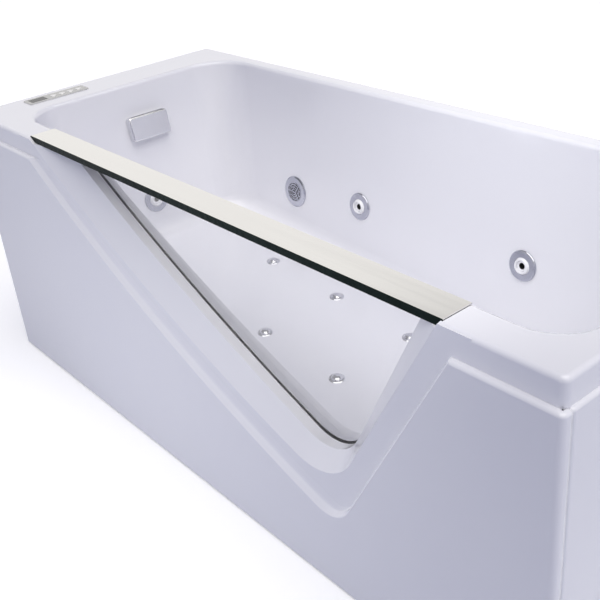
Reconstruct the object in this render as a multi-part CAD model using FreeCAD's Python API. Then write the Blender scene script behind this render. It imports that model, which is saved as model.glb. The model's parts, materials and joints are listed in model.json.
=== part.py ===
import FreeCAD, Part
import math
import os

os.makedirs("parts", exist_ok=True)
V = FreeCAD.Vector
up = V(0, 0, 1)

# Overall sizes in mm: X along the tub, Y from the front to the wall side, Z up
tub_length = 1700.0
tub_width = 700.0
deck_height = 640.0
sheet = 6.0
apron_proud = 11.0
end_proud = 7.0
lip_drop = 43.0
lip_tuck = 12.0
rim_corner = 12.0
rim_round = 8.0
mouth_round = 9.0
fit_gap = 0.3
seam_gap = 1.0
panel_foot = 3.0

# Deck widths round the basin mouth
deck_left = 126.0
deck_right = 40.0
deck_front = 67.0
deck_back = 40.0

# Basin walls: drafts from the vertical; corner radii are front left, front right, back right, back left
left_draft = 11.0
backrest_angle = 30.0
front_draft = 3.0
back_draft = 6.5
mouth_radii = [90.0, 70.0, 200.0, 100.0]
base_radii = [80.0, 90.0, 135.0, 72.0]
floor_height = 212.0
floor_slope = 4.0
floor_fillet = 45.0
base_depth = 92.0

# Window in the front wall: outer edge on the lip plane, inner edge at the glass
outer_window = {"left": -544.0, "right": 646.0, "low_x": 403.0, "low_z": 214.0, "bow": 36.5,
                "radius": 122.0}
reveal_inset = {"left": 126.5, "right": 42.5, "low_x": 2.5, "low_z": 33.5}
inner_window = {"left": outer_window["left"] + reveal_inset["left"],
                "right": outer_window["right"] - reveal_inset["right"],
                "low_x": outer_window["low_x"] - reveal_inset["low_x"],
                "low_z": outer_window["low_z"] + reveal_inset["low_z"], "bow": 23.0, "radius": 100.0}
reveal_depth = 28.0
band_depth = 20.0
glass_thickness = 8.0
glass_gap = 0.4
gasket_thickness = 1.2
gasket_width = 1.2
flange_step = 3.5
surround_wall = 8.0

# Cap over the glass
cap_left = outer_window["left"] - 2.0
cap_right = outer_window["right"] + 3.0
cap_setback = 6.0
cap_depth = 59.0
cap_height = 12.7
cap_stand = 2.0
cap_sheet = 2.0
cap_edge_thickness = 1.5
cap_seal_wall = 2.0
cap_seal_depth = 16.0
cap_seal_inset = 60.0

# Front panel notch: outer edge on the panel face, foot on the lip plane
notch = {"left": outer_window["left"] - 16.0, "right": outer_window["right"] + 26.0,
         "low_x": outer_window["low_x"] + 18.0, "low_z": outer_window["low_z"] - 71.0,
         "bow": 35.0, "radius": 70.0}
notch_foot = {"left": notch["left"] + 64.0, "right": notch["right"] - 3.0, "low_x": notch["low_x"] + 12.0,
              "low_z": notch["low_z"] + 24.0, "bow": 33.5, "radius": 45.0}
apron_return = 18.0
apron_corner = 10.0
ledge_round = 6.0
skin_overlap = 30.0

# Wall jets: position along the wall and height
back_jet_left_in = 547.0
back_jet_right_in = 493.0
back_jet_z = 367.0
foot_jet_shift = -4.5
foot_jet_z = 347.0
jet_flange_radius = 33.0
jet_ball_radius = 20.0
jet_ball_depth = 4.0
jet_mouth_radius = 17.7
jet_nose = 9.0
jet_hole_radius = 7.0
jet_cup_radius = 12.0
jet_sleeve_radius = 24.0
jet_barrel_radius = 28.0
jet_barrel_depth = 50.0
jet_barrel_floor = 5.0
jet_port_depth = 36.0
jet_port_radius = 12.0
ball_gap = 0.35

# Suction fitting on the back wall
suction_in = 308.0
suction_z = 345.0
suction_flange_radius = 40.0
suction_grille_radius = 25.7
suction_barrel_radius = 25.0
suction_barrel_wall = 4.0

# Nuts behind the wall fittings
nut_thickness = 10.0
nut_margin = 9.0
thread_gap = 0.05

# Overflow on the left end wall
overflow_shift = 21.0
overflow_z = 532.0
overflow_width = 112.0
overflow_height = 61.0
overflow_cover_depth = 20.0
overflow_corner = 8.0
overflow_sheet = 2.0
overflow_barrel_radius = 24.0
waste_radius = 16.0
waste_bore = 13.0
waste_run_gap = 7.0

# Drain at the low end of the floor
drain_in = 473.0
drain_flange_radius = 35.0
drain_throat_radius = 20.0
drain_barrel_radius = 24.0
drain_body_radius = 28.0
drain_body_depth = 64.0
drain_gasket_thickness = 3.0
plug_radius = 30.0
plug_stem_radius = 4.0
plug_stem_length = 40.0
outlet_radius = 20.0
outlet_bore = 17.0
crossing_gap = 3.0
outlet_bend = 26.0
spigot_length = 40.0
spigot_step = 1.0

# Air jets in the floor, in the plane of the floor
air_jet_in = 396.0
air_jet_pitch = 232.0
air_jet_columns = 3
air_back_inset = 189.0
air_front_inset = 181.0
air_cap_radius = 17.0
air_dome_radius = 12.0
air_cap_height = 7.0
air_stem_radius = 7.0
air_nut_thickness = 7.0
air_pipe_depth = 52.0
air_pipe_radius = 11.0
air_pipe_bore = 8.5
air_pipe_end = 30.0
air_pipe_past_drain = 70.0
air_feed_shift = -79.0

# Support frame
bar = 30.0
bar_wall = 2.0
frame_inset_x = 25.0
frame_front_inset = 36.0
frame_back_inset = 32.0
frame_bottom = 30.0
pad_left_in = 237.0
pad_middle_shift = -69.0
pad_right_in = 363.0
pad_size = 50.0
pad_front_inset = 126.0
pad_gap = 10.0
foot_inset = 70.0
foot_pad_radius = 25.0
foot_pad_height = 8.0
foot_stem_radius = 6.0
foot_nut_radius = 11.0
foot_nut_height = 8.0
tray_thickness = 6.0
tray_gap = 4.0
tray_length = 243.0
tray_overhang = 5.0

# Pump under the backrest
pump_back_inset = 115.0
pump_end_inset = 203.0
volute_radius = 60.0
volute_length = 50.0
volute_wall = 6.0
volute_cavity = 50.0
pump_port_radius = 22.0
pump_port_bore = 16.0
pump_inlet_length = 20.0
pump_outlet_top = 78.0
motor_radius = 55.0
motor_length = 112.0
motor_wall = 4.0
motor_fin = 3.0
motor_fins = 16
shaft_radius = 6.0
shaft_gap = 0.05
shaft_pass = 8.0
bearing_radius = 16.0
bearing_length = 10.0
rotor_radius = 32.0
impeller_radius = 44.0
pump_base_height = 8.0

# Water pipes behind the walls
manifold_back_inset = 32.0
manifold_z = 430.0
manifold_rise_z = 264.0
manifold_bend = 38.0
manifold_radius = 16.0
manifold_bore = 13.0
manifold_end_inset = 63.0
foot_port_shift = 20.0
suction_pipe_radius = 19.0
suction_pipe_bore = 16.0
pipe_bend = 45.0

# Blower under the backrest
blower_end_inset = 108.0
blower_radius = 60.0
blower_wall = 5.0
blower_height = 74.0
blower_outlet_offset = 42.0
blower_outlet_half = 17.0
blower_spigot_radius = 11.0
fan_radius = 46.0
fan_inner = 27.0
fan_blades = 12
spindle_radius = 4.0
spindle_gap = 0.05
cover_thickness = 4.0

# Controls on the left deck
bezel_end_inset = 51.0
bezel_front_inset = 197.0
bezel_width = 44.0
bezel_length = 160.0
bezel_thickness = 2.0
bezel_corner = 6.0
module_margin = 8.0
module_depth = 26.0
button_radius = 8.0
button_first = -8.0
button_pitch = 23.0
button_count = 4
button_travel = 1.2
button_stand = 0.5
button_well = 3.0
display_length = 42.0
display_width = 30.0

# Electric box on the tray
box_end_inset = 193.0
box_stand_gap = 12.0
box_length = 140.0
box_width = 110.0
box_height = 95.0
box_wall = 3.0
box_lid = 4.0
gland_radius = 11.0
gland_bore = 5.0
gland_length = 18.0

# Derived places of the rim and the mouth
rim_x0 = -tub_length / 2 + end_proud
rim_x1 = tub_length / 2 - end_proud
rim_y0 = -tub_width / 2 + apron_proud
rim_y1 = tub_width / 2
ledge_z = deck_height - lip_drop
lip_bottom = ledge_z - lip_tuck
mouth_x0 = rim_x0 + deck_left
mouth_x1 = rim_x1 - deck_right
mouth_y0 = rim_y0 + deck_front
mouth_y1 = rim_y1 - deck_back
basin_base = floor_height - base_depth
basin_drop = deck_height - basin_base
band_y0 = rim_y0 + reveal_depth
glass_y0 = band_y0 + band_depth
glass_y1 = glass_y0 + glass_thickness
seat_y1 = glass_y1 + gasket_thickness
cap_bottom = deck_height + cap_stand - cap_height
cap_y0 = rim_y0 + cap_setback
cap_y1 = cap_y0 + cap_depth
basin_middle = (mouth_y0 + mouth_y1) / 2
back_jet_xs = {"back_jet_left": mouth_x0 + back_jet_left_in, "back_jet_right": mouth_x1 - back_jet_right_in}
foot_jet_y = basin_middle + foot_jet_shift
suction_x = mouth_x0 + suction_in
overflow_y = basin_middle + overflow_shift
drain_x = mouth_x1 - drain_in
drain_y = basin_middle
air_jet_xs = [mouth_x0 + air_jet_in + air_jet_pitch * step for step in range(air_jet_columns)]
air_jet_ys = [mouth_y1 - air_back_inset, mouth_y0 + air_front_inset]
air_pipe_start = air_jet_xs[0] - air_pipe_end
air_pipe_turn = drain_x + air_pipe_past_drain
air_feed_y = basin_middle + air_feed_shift
frame_top = frame_bottom + bar
frame_x = rim_x1 - frame_inset_x
frame_front_y = rim_y0 + frame_front_inset
frame_back_y = rim_y1 - frame_back_inset
foot_xs = [foot_inset - frame_x, 0, frame_x - foot_inset]
tray_left = rim_x1 - tray_length
pad_cross_xs = [mouth_x0 + pad_left_in, (mouth_x0 + mouth_x1) / 2 + pad_middle_shift,
                mouth_x1 - pad_right_in]
cross_xs = pad_cross_xs + [tray_left + tray_overhang + bar / 2]
pump_y = rim_y1 - pump_back_inset
pump_face_x = rim_x1 - pump_end_inset
manifold_y = rim_y1 - manifold_back_inset
manifold_end_x = rim_x0 + manifold_end_inset
blower_x = rim_x1 - blower_end_inset
box_x = rim_x1 - box_end_inset
bezel_x = rim_x0 + bezel_end_inset
bezel_y = rim_y0 + bezel_front_inset
button_ys = [bezel_y + button_first + button_pitch * step for step in range(button_count)]
tray_top = frame_top + tray_thickness
tray_right = frame_x + bar / 2
suction_pipe_depth = sheet + nut_thickness + seam_gap + suction_pipe_radius
suction_barrel_depth = suction_pipe_depth + suction_pipe_radius + suction_barrel_wall
waste_depth = sheet + nut_thickness + seam_gap + waste_radius
overflow_barrel_depth = waste_depth + waste_radius + suction_barrel_wall
pump_z = tray_top + pump_base_height + volute_radius
cut_top = deck_height + 2 * mouth_round


def tan_of(angle):
    return math.tan(math.radians(angle))


def box(x0, x1, y0, y1, z0, z1):
    return Part.makeBox(x1 - x0, y1 - y0, z1 - z0, V(x0, y0, z0))


def rod(base, axis, radius, length):
    return Part.makeCylinder(radius, length, base, axis)


def bar_between(start, end, radius):
    return Part.makeCylinder(radius, (end - start).Length, start, end - start)


def turned(points):
    # Solid of revolution about local Z from (radius, height) corners
    corners = [V(r, 0, h) for r, h in points]
    face = Part.Face(Part.makePolygon(corners + corners[:1]))
    return face.revolve(V(0, 0, 0), up, 360)


def ring(inner, outer, low, high):
    return turned([(inner, low), (outer, low), (outer, high), (inner, high)])


def line(a, b):
    return Part.LineSegment(a, b).toShape()


def arc(a, b, c):
    return Part.Arc(a, b, c).toShape()


def pipe_core(points, radius, bend):
    # Straight runs joined by tangent arcs, swept by a circle
    edges = []
    start = points[0]
    for before, corner, after in zip(points, points[1:], points[2:]):
        a = (before - corner).normalize()
        b = (after - corner).normalize()
        half = a.getAngle(b) / 2
        reach = bend / math.tan(half)
        middle = (a + b).normalize()
        centre = corner + middle * (bend / math.sin(half))
        enter = corner + a * reach
        leave = corner + b * reach
        edges.append(line(start, enter))
        edges.append(arc(enter, centre - middle * bend, leave))
        start = leave
    edges.append(line(start, points[-1]))
    path = Part.Wire(edges)
    circle = Part.Wire(Part.Circle(points[0], points[1] - points[0], radius).toShape())
    return path.makePipeShell([circle], True, False)


def pipe(points, radius, bore, bend):
    return pipe_core(points, radius, bend).cut(pipe_core(points, bore, bend))


def rounded_rect(x0, x1, y0, y1, radii, z):
    # Closed outline with corners front left, front right, back right, back left
    fl, fr, br, bl = radii
    k = 1 - math.sqrt(0.5)
    return Part.Wire([
        line(V(x0 + fl, y0, z), V(x1 - fr, y0, z)),
        arc(V(x1 - fr, y0, z), V(x1 - fr * k, y0 + fr * k, z), V(x1, y0 + fr, z)),
        line(V(x1, y0 + fr, z), V(x1, y1 - br, z)),
        arc(V(x1, y1 - br, z), V(x1 - br * k, y1 - br * k, z), V(x1 - br, y1, z)),
        line(V(x1 - br, y1, z), V(x0 + bl, y1, z)),
        arc(V(x0 + bl, y1, z), V(x0 + bl * k, y1 - bl * k, z), V(x0, y1 - bl, z)),
        line(V(x0, y1 - bl, z), V(x0, y0 + fl, z)),
        arc(V(x0, y0 + fl, z), V(x0 + fl * k, y0 + fl * k, z), V(x0 + fl, y0, z)),
    ])


def rounded_block(x0, x1, y0, y1, radius, z0, z1):
    return Part.Face(rounded_rect(x0, x1, y0, y1, [radius] * 4, z0)).extrude(V(0, 0, z1 - z0))


def seat(origin, normal, along):
    # Local frame with Z out of the wall and X along it
    return FreeCAD.Placement(origin, FreeCAD.Rotation(along, normal.cross(along), normal, "ZXY"))


def placed(shape, place):
    moved = shape.copy()
    moved.Placement = place.multiply(moved.Placement)
    return moved


def group(shapes):
    return Part.makeCompound(shapes)


def export(name, shape):
    shape.exportStep("parts/" + name + ".step")
    print(name, "solids", len(shape.Solids), "valid", shape.isValid(), "litres",
          round(shape.Volume / 1e6, 3))


# Outline of a window: a bowed left edge, a rounded low corner and a straight right edge
def window_shape(sizes, top_z):
    a = V(sizes["left"], 0, top_z)
    b = V(sizes["low_x"], 0, sizes["low_z"])
    d = V(sizes["right"], 0, top_z)
    chord = b - a
    half = chord.Length / 2
    rise = V(-chord.z, 0, chord.x).normalize()
    big = (half * half + sizes["bow"] ** 2) / (2 * sizes["bow"])
    centre = (a + b) * 0.5 + rise * (big - sizes["bow"])
    side = (d - b).normalize()
    inward = V(-side.z, 0, side.x)
    radius = sizes["radius"]
    start = b + inward * radius - centre
    run = start.dot(side)
    reach = -run - math.sqrt(run * run - start.dot(start) + (big - radius) ** 2)
    fillet = centre + start + side * reach
    far = -run + math.sqrt(run * run - start.dot(start) + (big - radius) ** 2)
    near_fillet = fillet if abs(reach) < abs(far) else centre + start + side * far
    return {"centre": centre, "big": big, "fillet": near_fillet, "radius": radius,
            "side": side, "inward": inward, "right": d, "top": top_z}


def window_wire(shape, y, grow, top_z):
    # The outline at depth y, grown outward, its upper ends carried straight up to top_z
    big = shape["big"] + grow
    radius = shape["radius"] + grow
    centre = shape["centre"]
    fillet = shape["fillet"]
    rise = shape["top"] - centre.z
    left = V(centre.x - math.sqrt(big * big - rise * rise), 0, shape["top"])
    meet = centre + (fillet - centre).normalize() * big
    touch = fillet - shape["inward"] * radius
    edge = shape["right"] - shape["inward"] * grow
    right = edge + shape["side"] * ((shape["top"] - edge.z) / shape["side"].z)
    on_arc = centre + ((left + meet) * 0.5 - centre).normalize() * big
    on_fillet = fillet + ((meet + touch) * 0.5 - fillet).normalize() * radius
    depth = V(0, y, 0)
    left_top = V(left.x, 0, top_z)
    right_top = V(right.x, 0, top_z)
    return Part.Wire([
        arc(left + depth, on_arc + depth, meet + depth),
        arc(meet + depth, on_fillet + depth, touch + depth),
        line(touch + depth, right + depth),
        line(right + depth, right_top + depth),
        line(right_top + depth, left_top + depth),
        line(left_top + depth, left + depth),
    ])


def window_block(shape, y0, y1, grow, top_z):
    # Solid of the outline between two depths, cut off level at top_z
    block = Part.Face(window_wire(shape, y0, grow, cut_top)).extrude(V(0, y1 - y0, 0))
    return block.cut(box(-tub_length, tub_length, -tub_width, tub_width, top_z, 2 * cut_top))


def basin_wire(z, grow):
    drop = deck_height - z
    share = drop / basin_drop
    radii = [m + (b - m) * share + grow for m, b in zip(mouth_radii, base_radii)]
    return rounded_rect(
        mouth_x0 + drop * tan_of(left_draft) - grow,
        mouth_x1 - drop * tan_of(backrest_angle) + grow,
        mouth_y0 + drop * tan_of(front_draft) - grow,
        mouth_y1 - drop * tan_of(back_draft) + grow,
        radii, z)


floor_frame = FreeCAD.Placement(V(0, 0, floor_height), FreeCAD.Rotation(V(0, 1, 0), floor_slope))


def on_floor(shape, x, y):
    return placed(placed(shape, FreeCAD.Placement(V(x, y, 0), FreeCAD.Rotation())), floor_frame)


def basin_block(grow, top_z, fillet):
    # Drafted basin volume above the sloped floor, its floor edge rounded
    walls = Part.makeLoft([basin_wire(basin_base, grow), basin_wire(top_z, grow)], True, True)
    above = Part.makeBox(2 * tub_length, 2 * tub_width, deck_height, V(-tub_length, -tub_width, -grow))
    block = walls.common(placed(above, floor_frame))
    to_floor = floor_frame.inverse()
    edges = [e for e in block.Edges if all(abs(to_floor.multVec(v.Point).z + grow) < 0.01
                                           for v in e.Vertexes)]
    return block.makeFillet(fillet, edges)


# Seats of the wall fittings
back_lean = math.radians(back_draft)
left_lean = math.radians(left_draft)
back_normal = V(0, -math.cos(back_lean), math.sin(back_lean))
left_normal = V(math.cos(left_lean), 0, math.sin(left_lean))


def back_seat(x, z):
    return seat(V(x, mouth_y1 - (deck_height - z) * tan_of(back_draft), z), back_normal, V(1, 0, 0))


def left_seat(y, z):
    return seat(V(mouth_x0 + (deck_height - z) * tan_of(left_draft), y, z), left_normal, V(0, 1, 0))


jet_seats = {name: back_seat(x, back_jet_z) for name, x in back_jet_xs.items()}
jet_seats["foot_jet"] = left_seat(foot_jet_y, foot_jet_z)
suction_seat = back_seat(suction_x, suction_z)
overflow_seat = left_seat(overflow_y, overflow_z)
air_places = [(x, y) for x in air_jet_xs for y in air_jet_ys]

# Shell: deck and lip, basin, front skin and window surround in one moulding
cavity = basin_block(0, cut_top, floor_fillet)
outer_basin = basin_block(sheet, deck_height - sheet / 2, floor_fillet + sheet)
rim_block = rounded_block(rim_x0, rim_x1, rim_y0, rim_y1, rim_corner, lip_bottom, deck_height)
rim_hollow = rounded_block(rim_x0 + sheet, rim_x1 - sheet, rim_y0 + sheet, rim_y1 - sheet,
                           rim_corner - sheet, lip_bottom, deck_height - sheet)
shell = rim_block.cut(rim_hollow).fuse(outer_basin).cut(cavity).removeSplitter()
deck_edges = [e for e in shell.Edges if all(abs(v.Z - deck_height) < 0.01 for v in e.Vertexes)]
mouth_edges = [e for e in deck_edges if mouth_x0 - 1 < e.CenterOfMass.x < mouth_x1 + 1
               and mouth_y0 - 1 < e.CenterOfMass.y < mouth_y1 + 1]
rim_edges = [e for e in deck_edges if not any(e.isSame(m) for m in mouth_edges)]
shell = shell.makeFillet(mouth_round, mouth_edges)
rim_edges = [e for e in shell.Edges if all(abs(v.Z - deck_height) < 0.01 for v in e.Vertexes)
             and any((e.CenterOfMass - r.CenterOfMass).Length < 0.01 for r in rim_edges)]
shell = shell.makeFillet(rim_round, rim_edges)

outer_edge = window_shape(outer_window, deck_height)
inner_edge = window_shape(inner_window, deck_height)
surround_top = deck_height - sheet / 2
surround = window_block(outer_edge, rim_y0, mouth_y0 + basin_drop * tan_of(front_draft), surround_wall,
                        surround_top)
skin = box(notch["left"] - skin_overlap, notch["right"] + skin_overlap, rim_y0, rim_y0 + sheet,
           notch["low_z"] - skin_overlap, surround_top)
reveal = Part.makeLoft([window_wire(outer_edge, rim_y0, 0, cut_top),
                        window_wire(inner_edge, band_y0, 0, cut_top)], True, True)
glass_seat = window_block(inner_edge, -tub_width / 2, glass_y1, 0, cut_top)
gasket_seat = window_block(inner_edge, -tub_width / 2, seat_y1, gasket_width - flange_step, cut_top)
through = window_block(inner_edge, -tub_width / 2, 0, -flange_step, cut_top)
cap_rebate = box(cap_left, cap_right, cap_y0, mouth_y0 + mouth_round, cap_bottom, cut_top)
cap_front_cut = box(cap_left, cap_right, rim_y0, cap_y0, cap_bottom, cut_top)
cap_front_cut = cap_front_cut.common(window_block(outer_edge, rim_y0, cap_y0, 0, cut_top))
window_cut = reveal.fuse([glass_seat, gasket_seat, through, cap_rebate, cap_front_cut])
shell = shell.fuse([skin, surround.cut(cavity)]).cut(window_cut)


def hole(radius, depth):
    return rod(V(0, 0, -depth), up, radius, 2 * depth)


bezel_x0 = bezel_x - bezel_width / 2
bezel_x1 = bezel_x + bezel_width / 2
bezel_y0 = bezel_y - bezel_length / 2
bezel_y1 = bezel_y + bezel_length / 2
module_box = [bezel_x0 + module_margin, bezel_x1 - module_margin, bezel_y0 + module_margin,
              bezel_y1 - module_margin]
holes = [placed(hole(jet_barrel_radius + fit_gap, 4 * sheet), place) for place in jet_seats.values()]
holes.append(placed(hole(suction_barrel_radius + fit_gap, 4 * sheet), suction_seat))
holes.append(placed(hole(overflow_barrel_radius + fit_gap, 4 * sheet), overflow_seat))
holes.append(on_floor(hole(drain_barrel_radius + fit_gap, 4 * sheet), drain_x, drain_y))
holes += [on_floor(hole(air_stem_radius + fit_gap, 4 * sheet), x, y) for x, y in air_places]
holes.append(box(module_box[0] - seam_gap, module_box[1] + seam_gap, module_box[2] - seam_gap,
                 module_box[3] + seam_gap, deck_height - 2 * sheet, cut_top))
tub_shell = shell.cut(holes)
export("tub_shell", tub_shell)

# Front panel with the bevelled notch, and the two end panels
notch_edge = window_shape(notch, ledge_z)
notch_foot_edge = window_shape(notch_foot, ledge_z)
panel_top = ledge_z + 2 * sheet
apron = box(-tub_length / 2, tub_length / 2, -tub_width / 2, rim_y0, panel_foot, ledge_z)
return_y1 = -tub_width / 2 + apron_return
for side_x0, side_x1 in [(-tub_length / 2, rim_x0), (rim_x1, tub_length / 2)]:
    apron = apron.fuse(box(side_x0, side_x1, -tub_width / 2, return_y1, panel_foot, ledge_z))
apron = apron.removeSplitter()
corners = [e for e in apron.Edges if all(abs(abs(v.X) - tub_length / 2) < 0.01
                                         and abs(v.Y + tub_width / 2) < 0.01 for v in e.Vertexes)]
apron = apron.makeFillet(apron_corner, corners)


def top_edges(panel, inner_y):
    # Upper edges of a panel on its outer side
    return [e for e in panel.Edges if all(abs(v.Z - ledge_z) < 0.01 for v in e.Vertexes)
            and (abs(e.CenterOfMass.x) > rim_x1 + end_proud / 2 or e.CenterOfMass.y < inner_y)]


apron = apron.makeFillet(ledge_round, top_edges(apron, rim_y0 - apron_proud / 2))
bevel = Part.makeLoft([window_wire(notch_edge, -tub_width / 2, 0, panel_top),
                       window_wire(notch_foot_edge, rim_y0, 0, panel_top)], True, True)
export("front_apron", apron.cut(bevel))
panel_y0 = return_y1 + seam_gap
for name, panel_x0, panel_x1 in [("left_end_panel", -tub_length / 2, rim_x0),
                                 ("right_end_panel", rim_x1, tub_length / 2)]:
    panel = box(panel_x0, panel_x1, panel_y0, rim_y1, panel_foot, ledge_z)
    outer_x = -tub_length / 2 if panel_x0 < 0 else tub_length / 2
    front_edge = [e for e in panel.Edges if all(abs(v.X - outer_x) < 0.01 and abs(v.Y - panel_y0) < 0.01
                                                for v in e.Vertexes)]
    panel = panel.makeFillet(end_proud - seam_gap, front_edge)
    export(name, panel.makeFillet(ledge_round - seam_gap, top_edges(panel, -tub_width)))

# Glass, its seal and the cap
glass_top = deck_height - cap_sheet
window_glass = window_block(inner_edge, glass_y0, glass_y1, -glass_gap, glass_top)
export("window_glass", window_glass)
gasket_ring = window_block(inner_edge, glass_y1, seat_y1, gasket_width - flange_step, cap_bottom)
gasket_hole = window_block(inner_edge, glass_y1, seat_y1, -flange_step, cut_top)
edge_y1 = cap_y0 + cap_edge_thickness
cap_x0 = cap_left + seam_gap
cap_x1 = cap_right - seam_gap
cap_top = deck_height + cap_stand
cap_plate = box(cap_x0, cap_x1, edge_y1, cap_y1, deck_height, cap_top)
cap_front = box(cap_x0, cap_x1, edge_y1, edge_y1 + cap_sheet, cap_bottom, deck_height)
cap_back = box(cap_x0, cap_x1, cap_y1 - cap_sheet, cap_y1, cap_bottom, deck_height)
export("window_cap", cap_plate.fuse([cap_front, cap_back]).removeSplitter())
export("window_cap_edge", box(cap_x0, cap_x1, cap_y0, edge_y1, cap_bottom, cap_top))
seal = box(inner_window["left"] + cap_seal_inset, inner_window["right"] - cap_seal_inset,
           glass_y0 - cap_seal_wall,
           glass_y1 + cap_seal_wall, deck_height - cap_seal_depth, deck_height)
export("window_seals", group([gasket_ring.cut(gasket_hole), seal.cut([window_glass, gasket_ring])]))


def nut(bore, margin, thickness):
    return ring(bore + thread_gap, bore + margin, -sheet - thickness, -sheet)


# Jets: a body behind the wall, a turning ring on the wall and a tilting ball nozzle in the ring
manifold_points = [
    V(pump_face_x + volute_length / 2, pump_y, pump_z + pump_outlet_top),
    V(pump_face_x + volute_length / 2, pump_y, manifold_rise_z),
    V(pump_face_x + volute_length / 2, manifold_y, manifold_rise_z),
    V(pump_face_x + volute_length / 2, manifold_y, manifold_z),
    V(manifold_end_x, manifold_y, manifold_z),
    V(manifold_end_x, foot_jet_y - foot_port_shift - 2 * manifold_radius, manifold_z),
]
manifold_core = pipe_core(manifold_points, manifold_radius, manifold_bend)
export("water_manifold", manifold_core.cut(pipe_core(manifold_points, manifold_bore, manifold_bend)))
jet_bore = jet_sleeve_radius + ball_gap
jet_ring = turned([(8, -22), (jet_sleeve_radius, -22), (jet_sleeve_radius, fit_gap),
                   (jet_flange_radius, fit_gap),
                   (jet_flange_radius, 2.0), (jet_flange_radius - 1, 3.6), (jet_flange_radius - 2.5, 4.2),
                   (8, 4.2)])
ball_centre = V(0, 0, -jet_ball_depth)
jet_ring = jet_ring.cut([Part.makeSphere(jet_ball_radius + ball_gap, ball_centre),
                         rod(ball_centre, up, jet_mouth_radius, 3 * jet_nose),
                         rod(V(0, 0, -3 * jet_nose), up, jet_mouth_radius, 2 * jet_nose)])
nozzle_bore = turned([(0, -3 * jet_nose), (jet_hole_radius, -3 * jet_nose),
                      (jet_hole_radius, -jet_nose / 3), (jet_cup_radius - 2, jet_nose / 9),
                      (jet_cup_radius, jet_nose), (0, jet_nose)])
nozzle_zone = rod(V(0, 0, -19), up, 2 * jet_ball_radius, 19 + jet_nose)
jet_nozzle = Part.makeSphere(jet_ball_radius, ball_centre).common(nozzle_zone).cut(nozzle_bore)
barrel = turned([(jet_bore, 0), (jet_barrel_radius, 0), (jet_barrel_radius, -jet_barrel_depth),
                 (0, -jet_barrel_depth),
                 (0, jet_barrel_floor - jet_barrel_depth),
                 (jet_bore, jet_barrel_floor - jet_barrel_depth)])
barrel_inside = rod(V(0, 0, jet_barrel_floor - jet_barrel_depth), up, jet_bore, jet_barrel_depth)
for name, place in jet_seats.items():
    inside = place.multVec(V(0, 0, -jet_port_depth))
    target = V(inside.x, manifold_y, manifold_z)
    if name == "foot_jet":
        target = V(manifold_end_x, foot_jet_y - foot_port_shift, manifold_z)
    port = bar_between(inside, target, jet_port_radius)
    body = placed(barrel, place).fuse(port).cut([placed(barrel_inside, place), manifold_core])
    export(name + "_body", body)
    export(name + "_ring", placed(jet_ring, place))
    export(name + "_nozzle", placed(jet_nozzle, place))

# Suction fitting and its pipe to the pump
suction_bore = suction_barrel_radius - suction_barrel_wall
recess = suction_grille_radius + fit_gap
flange_profile = [(suction_bore, 0), (suction_flange_radius, 0), (suction_flange_radius, 2),
                  (suction_flange_radius - 3, 4.5), (recess, 4.5), (recess, 2.5), (suction_bore, 2.5)]
export("suction_flange", placed(turned(flange_profile), suction_seat))
grille = turned([(0, 2.5), (suction_grille_radius, 2.5), (suction_grille_radius, 5), (15, 6.5), (0, 7)])
reach = suction_flange_radius
spokes = group([box(-reach, reach, -1.6, 1.6, 0, 9), box(-1.6, 1.6, -reach, reach, 0, 9)])
slots = [ring(r - 1.3, r + 1.3, 0, 9).cut(spokes) for r in (7, 12, 17, 22)]
export("suction_grille", placed(grille.cut(slots), suction_seat))
suction_body = turned([(suction_bore, 0), (suction_barrel_radius, 0),
                       (suction_barrel_radius, -suction_barrel_depth),
                       (0, -suction_barrel_depth), (0, suction_barrel_wall - suction_barrel_depth),
                       (suction_bore, suction_barrel_wall - suction_barrel_depth)])
suction_inside = rod(V(0, 0, suction_barrel_wall - suction_barrel_depth), up, suction_bore,
                     suction_barrel_depth)
suction_mid = suction_seat.multVec(V(0, 0, -suction_pipe_depth))
inlet_x = pump_face_x - pump_inlet_length
suction_points = [
    suction_mid,
    V(suction_mid.x, suction_mid.y, pump_z),
    V(suction_mid.x + 4 * pipe_bend, pump_y, pump_z),
    V(inlet_x, pump_y, pump_z),
]
body_block = placed(suction_body.fuse(suction_inside), suction_seat)
suction_pipe = pipe(suction_points, suction_pipe_radius, suction_pipe_bore, pipe_bend)
export("suction_pipe", suction_pipe.cut(body_block))
suction_port = bar_between(suction_points[0], suction_points[1], suction_pipe_bore)
suction_port = suction_port.common(placed(rod(V(0, 0, -suction_barrel_depth), up, suction_flange_radius,
                                              suction_barrel_depth), suction_seat))
export("suction_body", placed(suction_body, suction_seat).cut(suction_port))

# Overflow: cover with a slit along its top, body through the wall, pipe down to the drain
half_w = overflow_width / 2
half_h = overflow_height / 2
cover = rounded_block(-half_w, half_w, -half_h, half_h, overflow_corner, 0, overflow_cover_depth)
front_edges = [e for e in cover.Edges if all(abs(v.Z - overflow_cover_depth) < 0.01 for v in e.Vertexes)]
cover = cover.makeFillet(overflow_corner / 2, front_edges)
hollow = rounded_block(-half_w + overflow_sheet, half_w - overflow_sheet, -half_h + overflow_sheet,
                       half_h - overflow_sheet, overflow_corner - overflow_sheet, 0,
                       overflow_cover_depth - overflow_sheet)
slit = box(-half_w + overflow_corner, half_w - overflow_corner, half_h - 2 * overflow_sheet,
           half_h + overflow_sheet,
           overflow_corner, overflow_cover_depth - overflow_corner / 2)
export("overflow_cover", placed(cover.cut([hollow, slit]), overflow_seat))
overflow_bore = overflow_barrel_radius - suction_barrel_wall
overflow_rim = half_h - overflow_sheet - fit_gap
overflow_floor = suction_barrel_wall - overflow_barrel_depth
overflow_body = turned([(overflow_bore, 5), (overflow_rim, 5), (overflow_rim, 0),
                        (overflow_barrel_radius, 0),
                        (overflow_barrel_radius, -overflow_barrel_depth), (0, -overflow_barrel_depth),
                        (0, overflow_floor), (overflow_bore, overflow_floor)])
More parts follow.
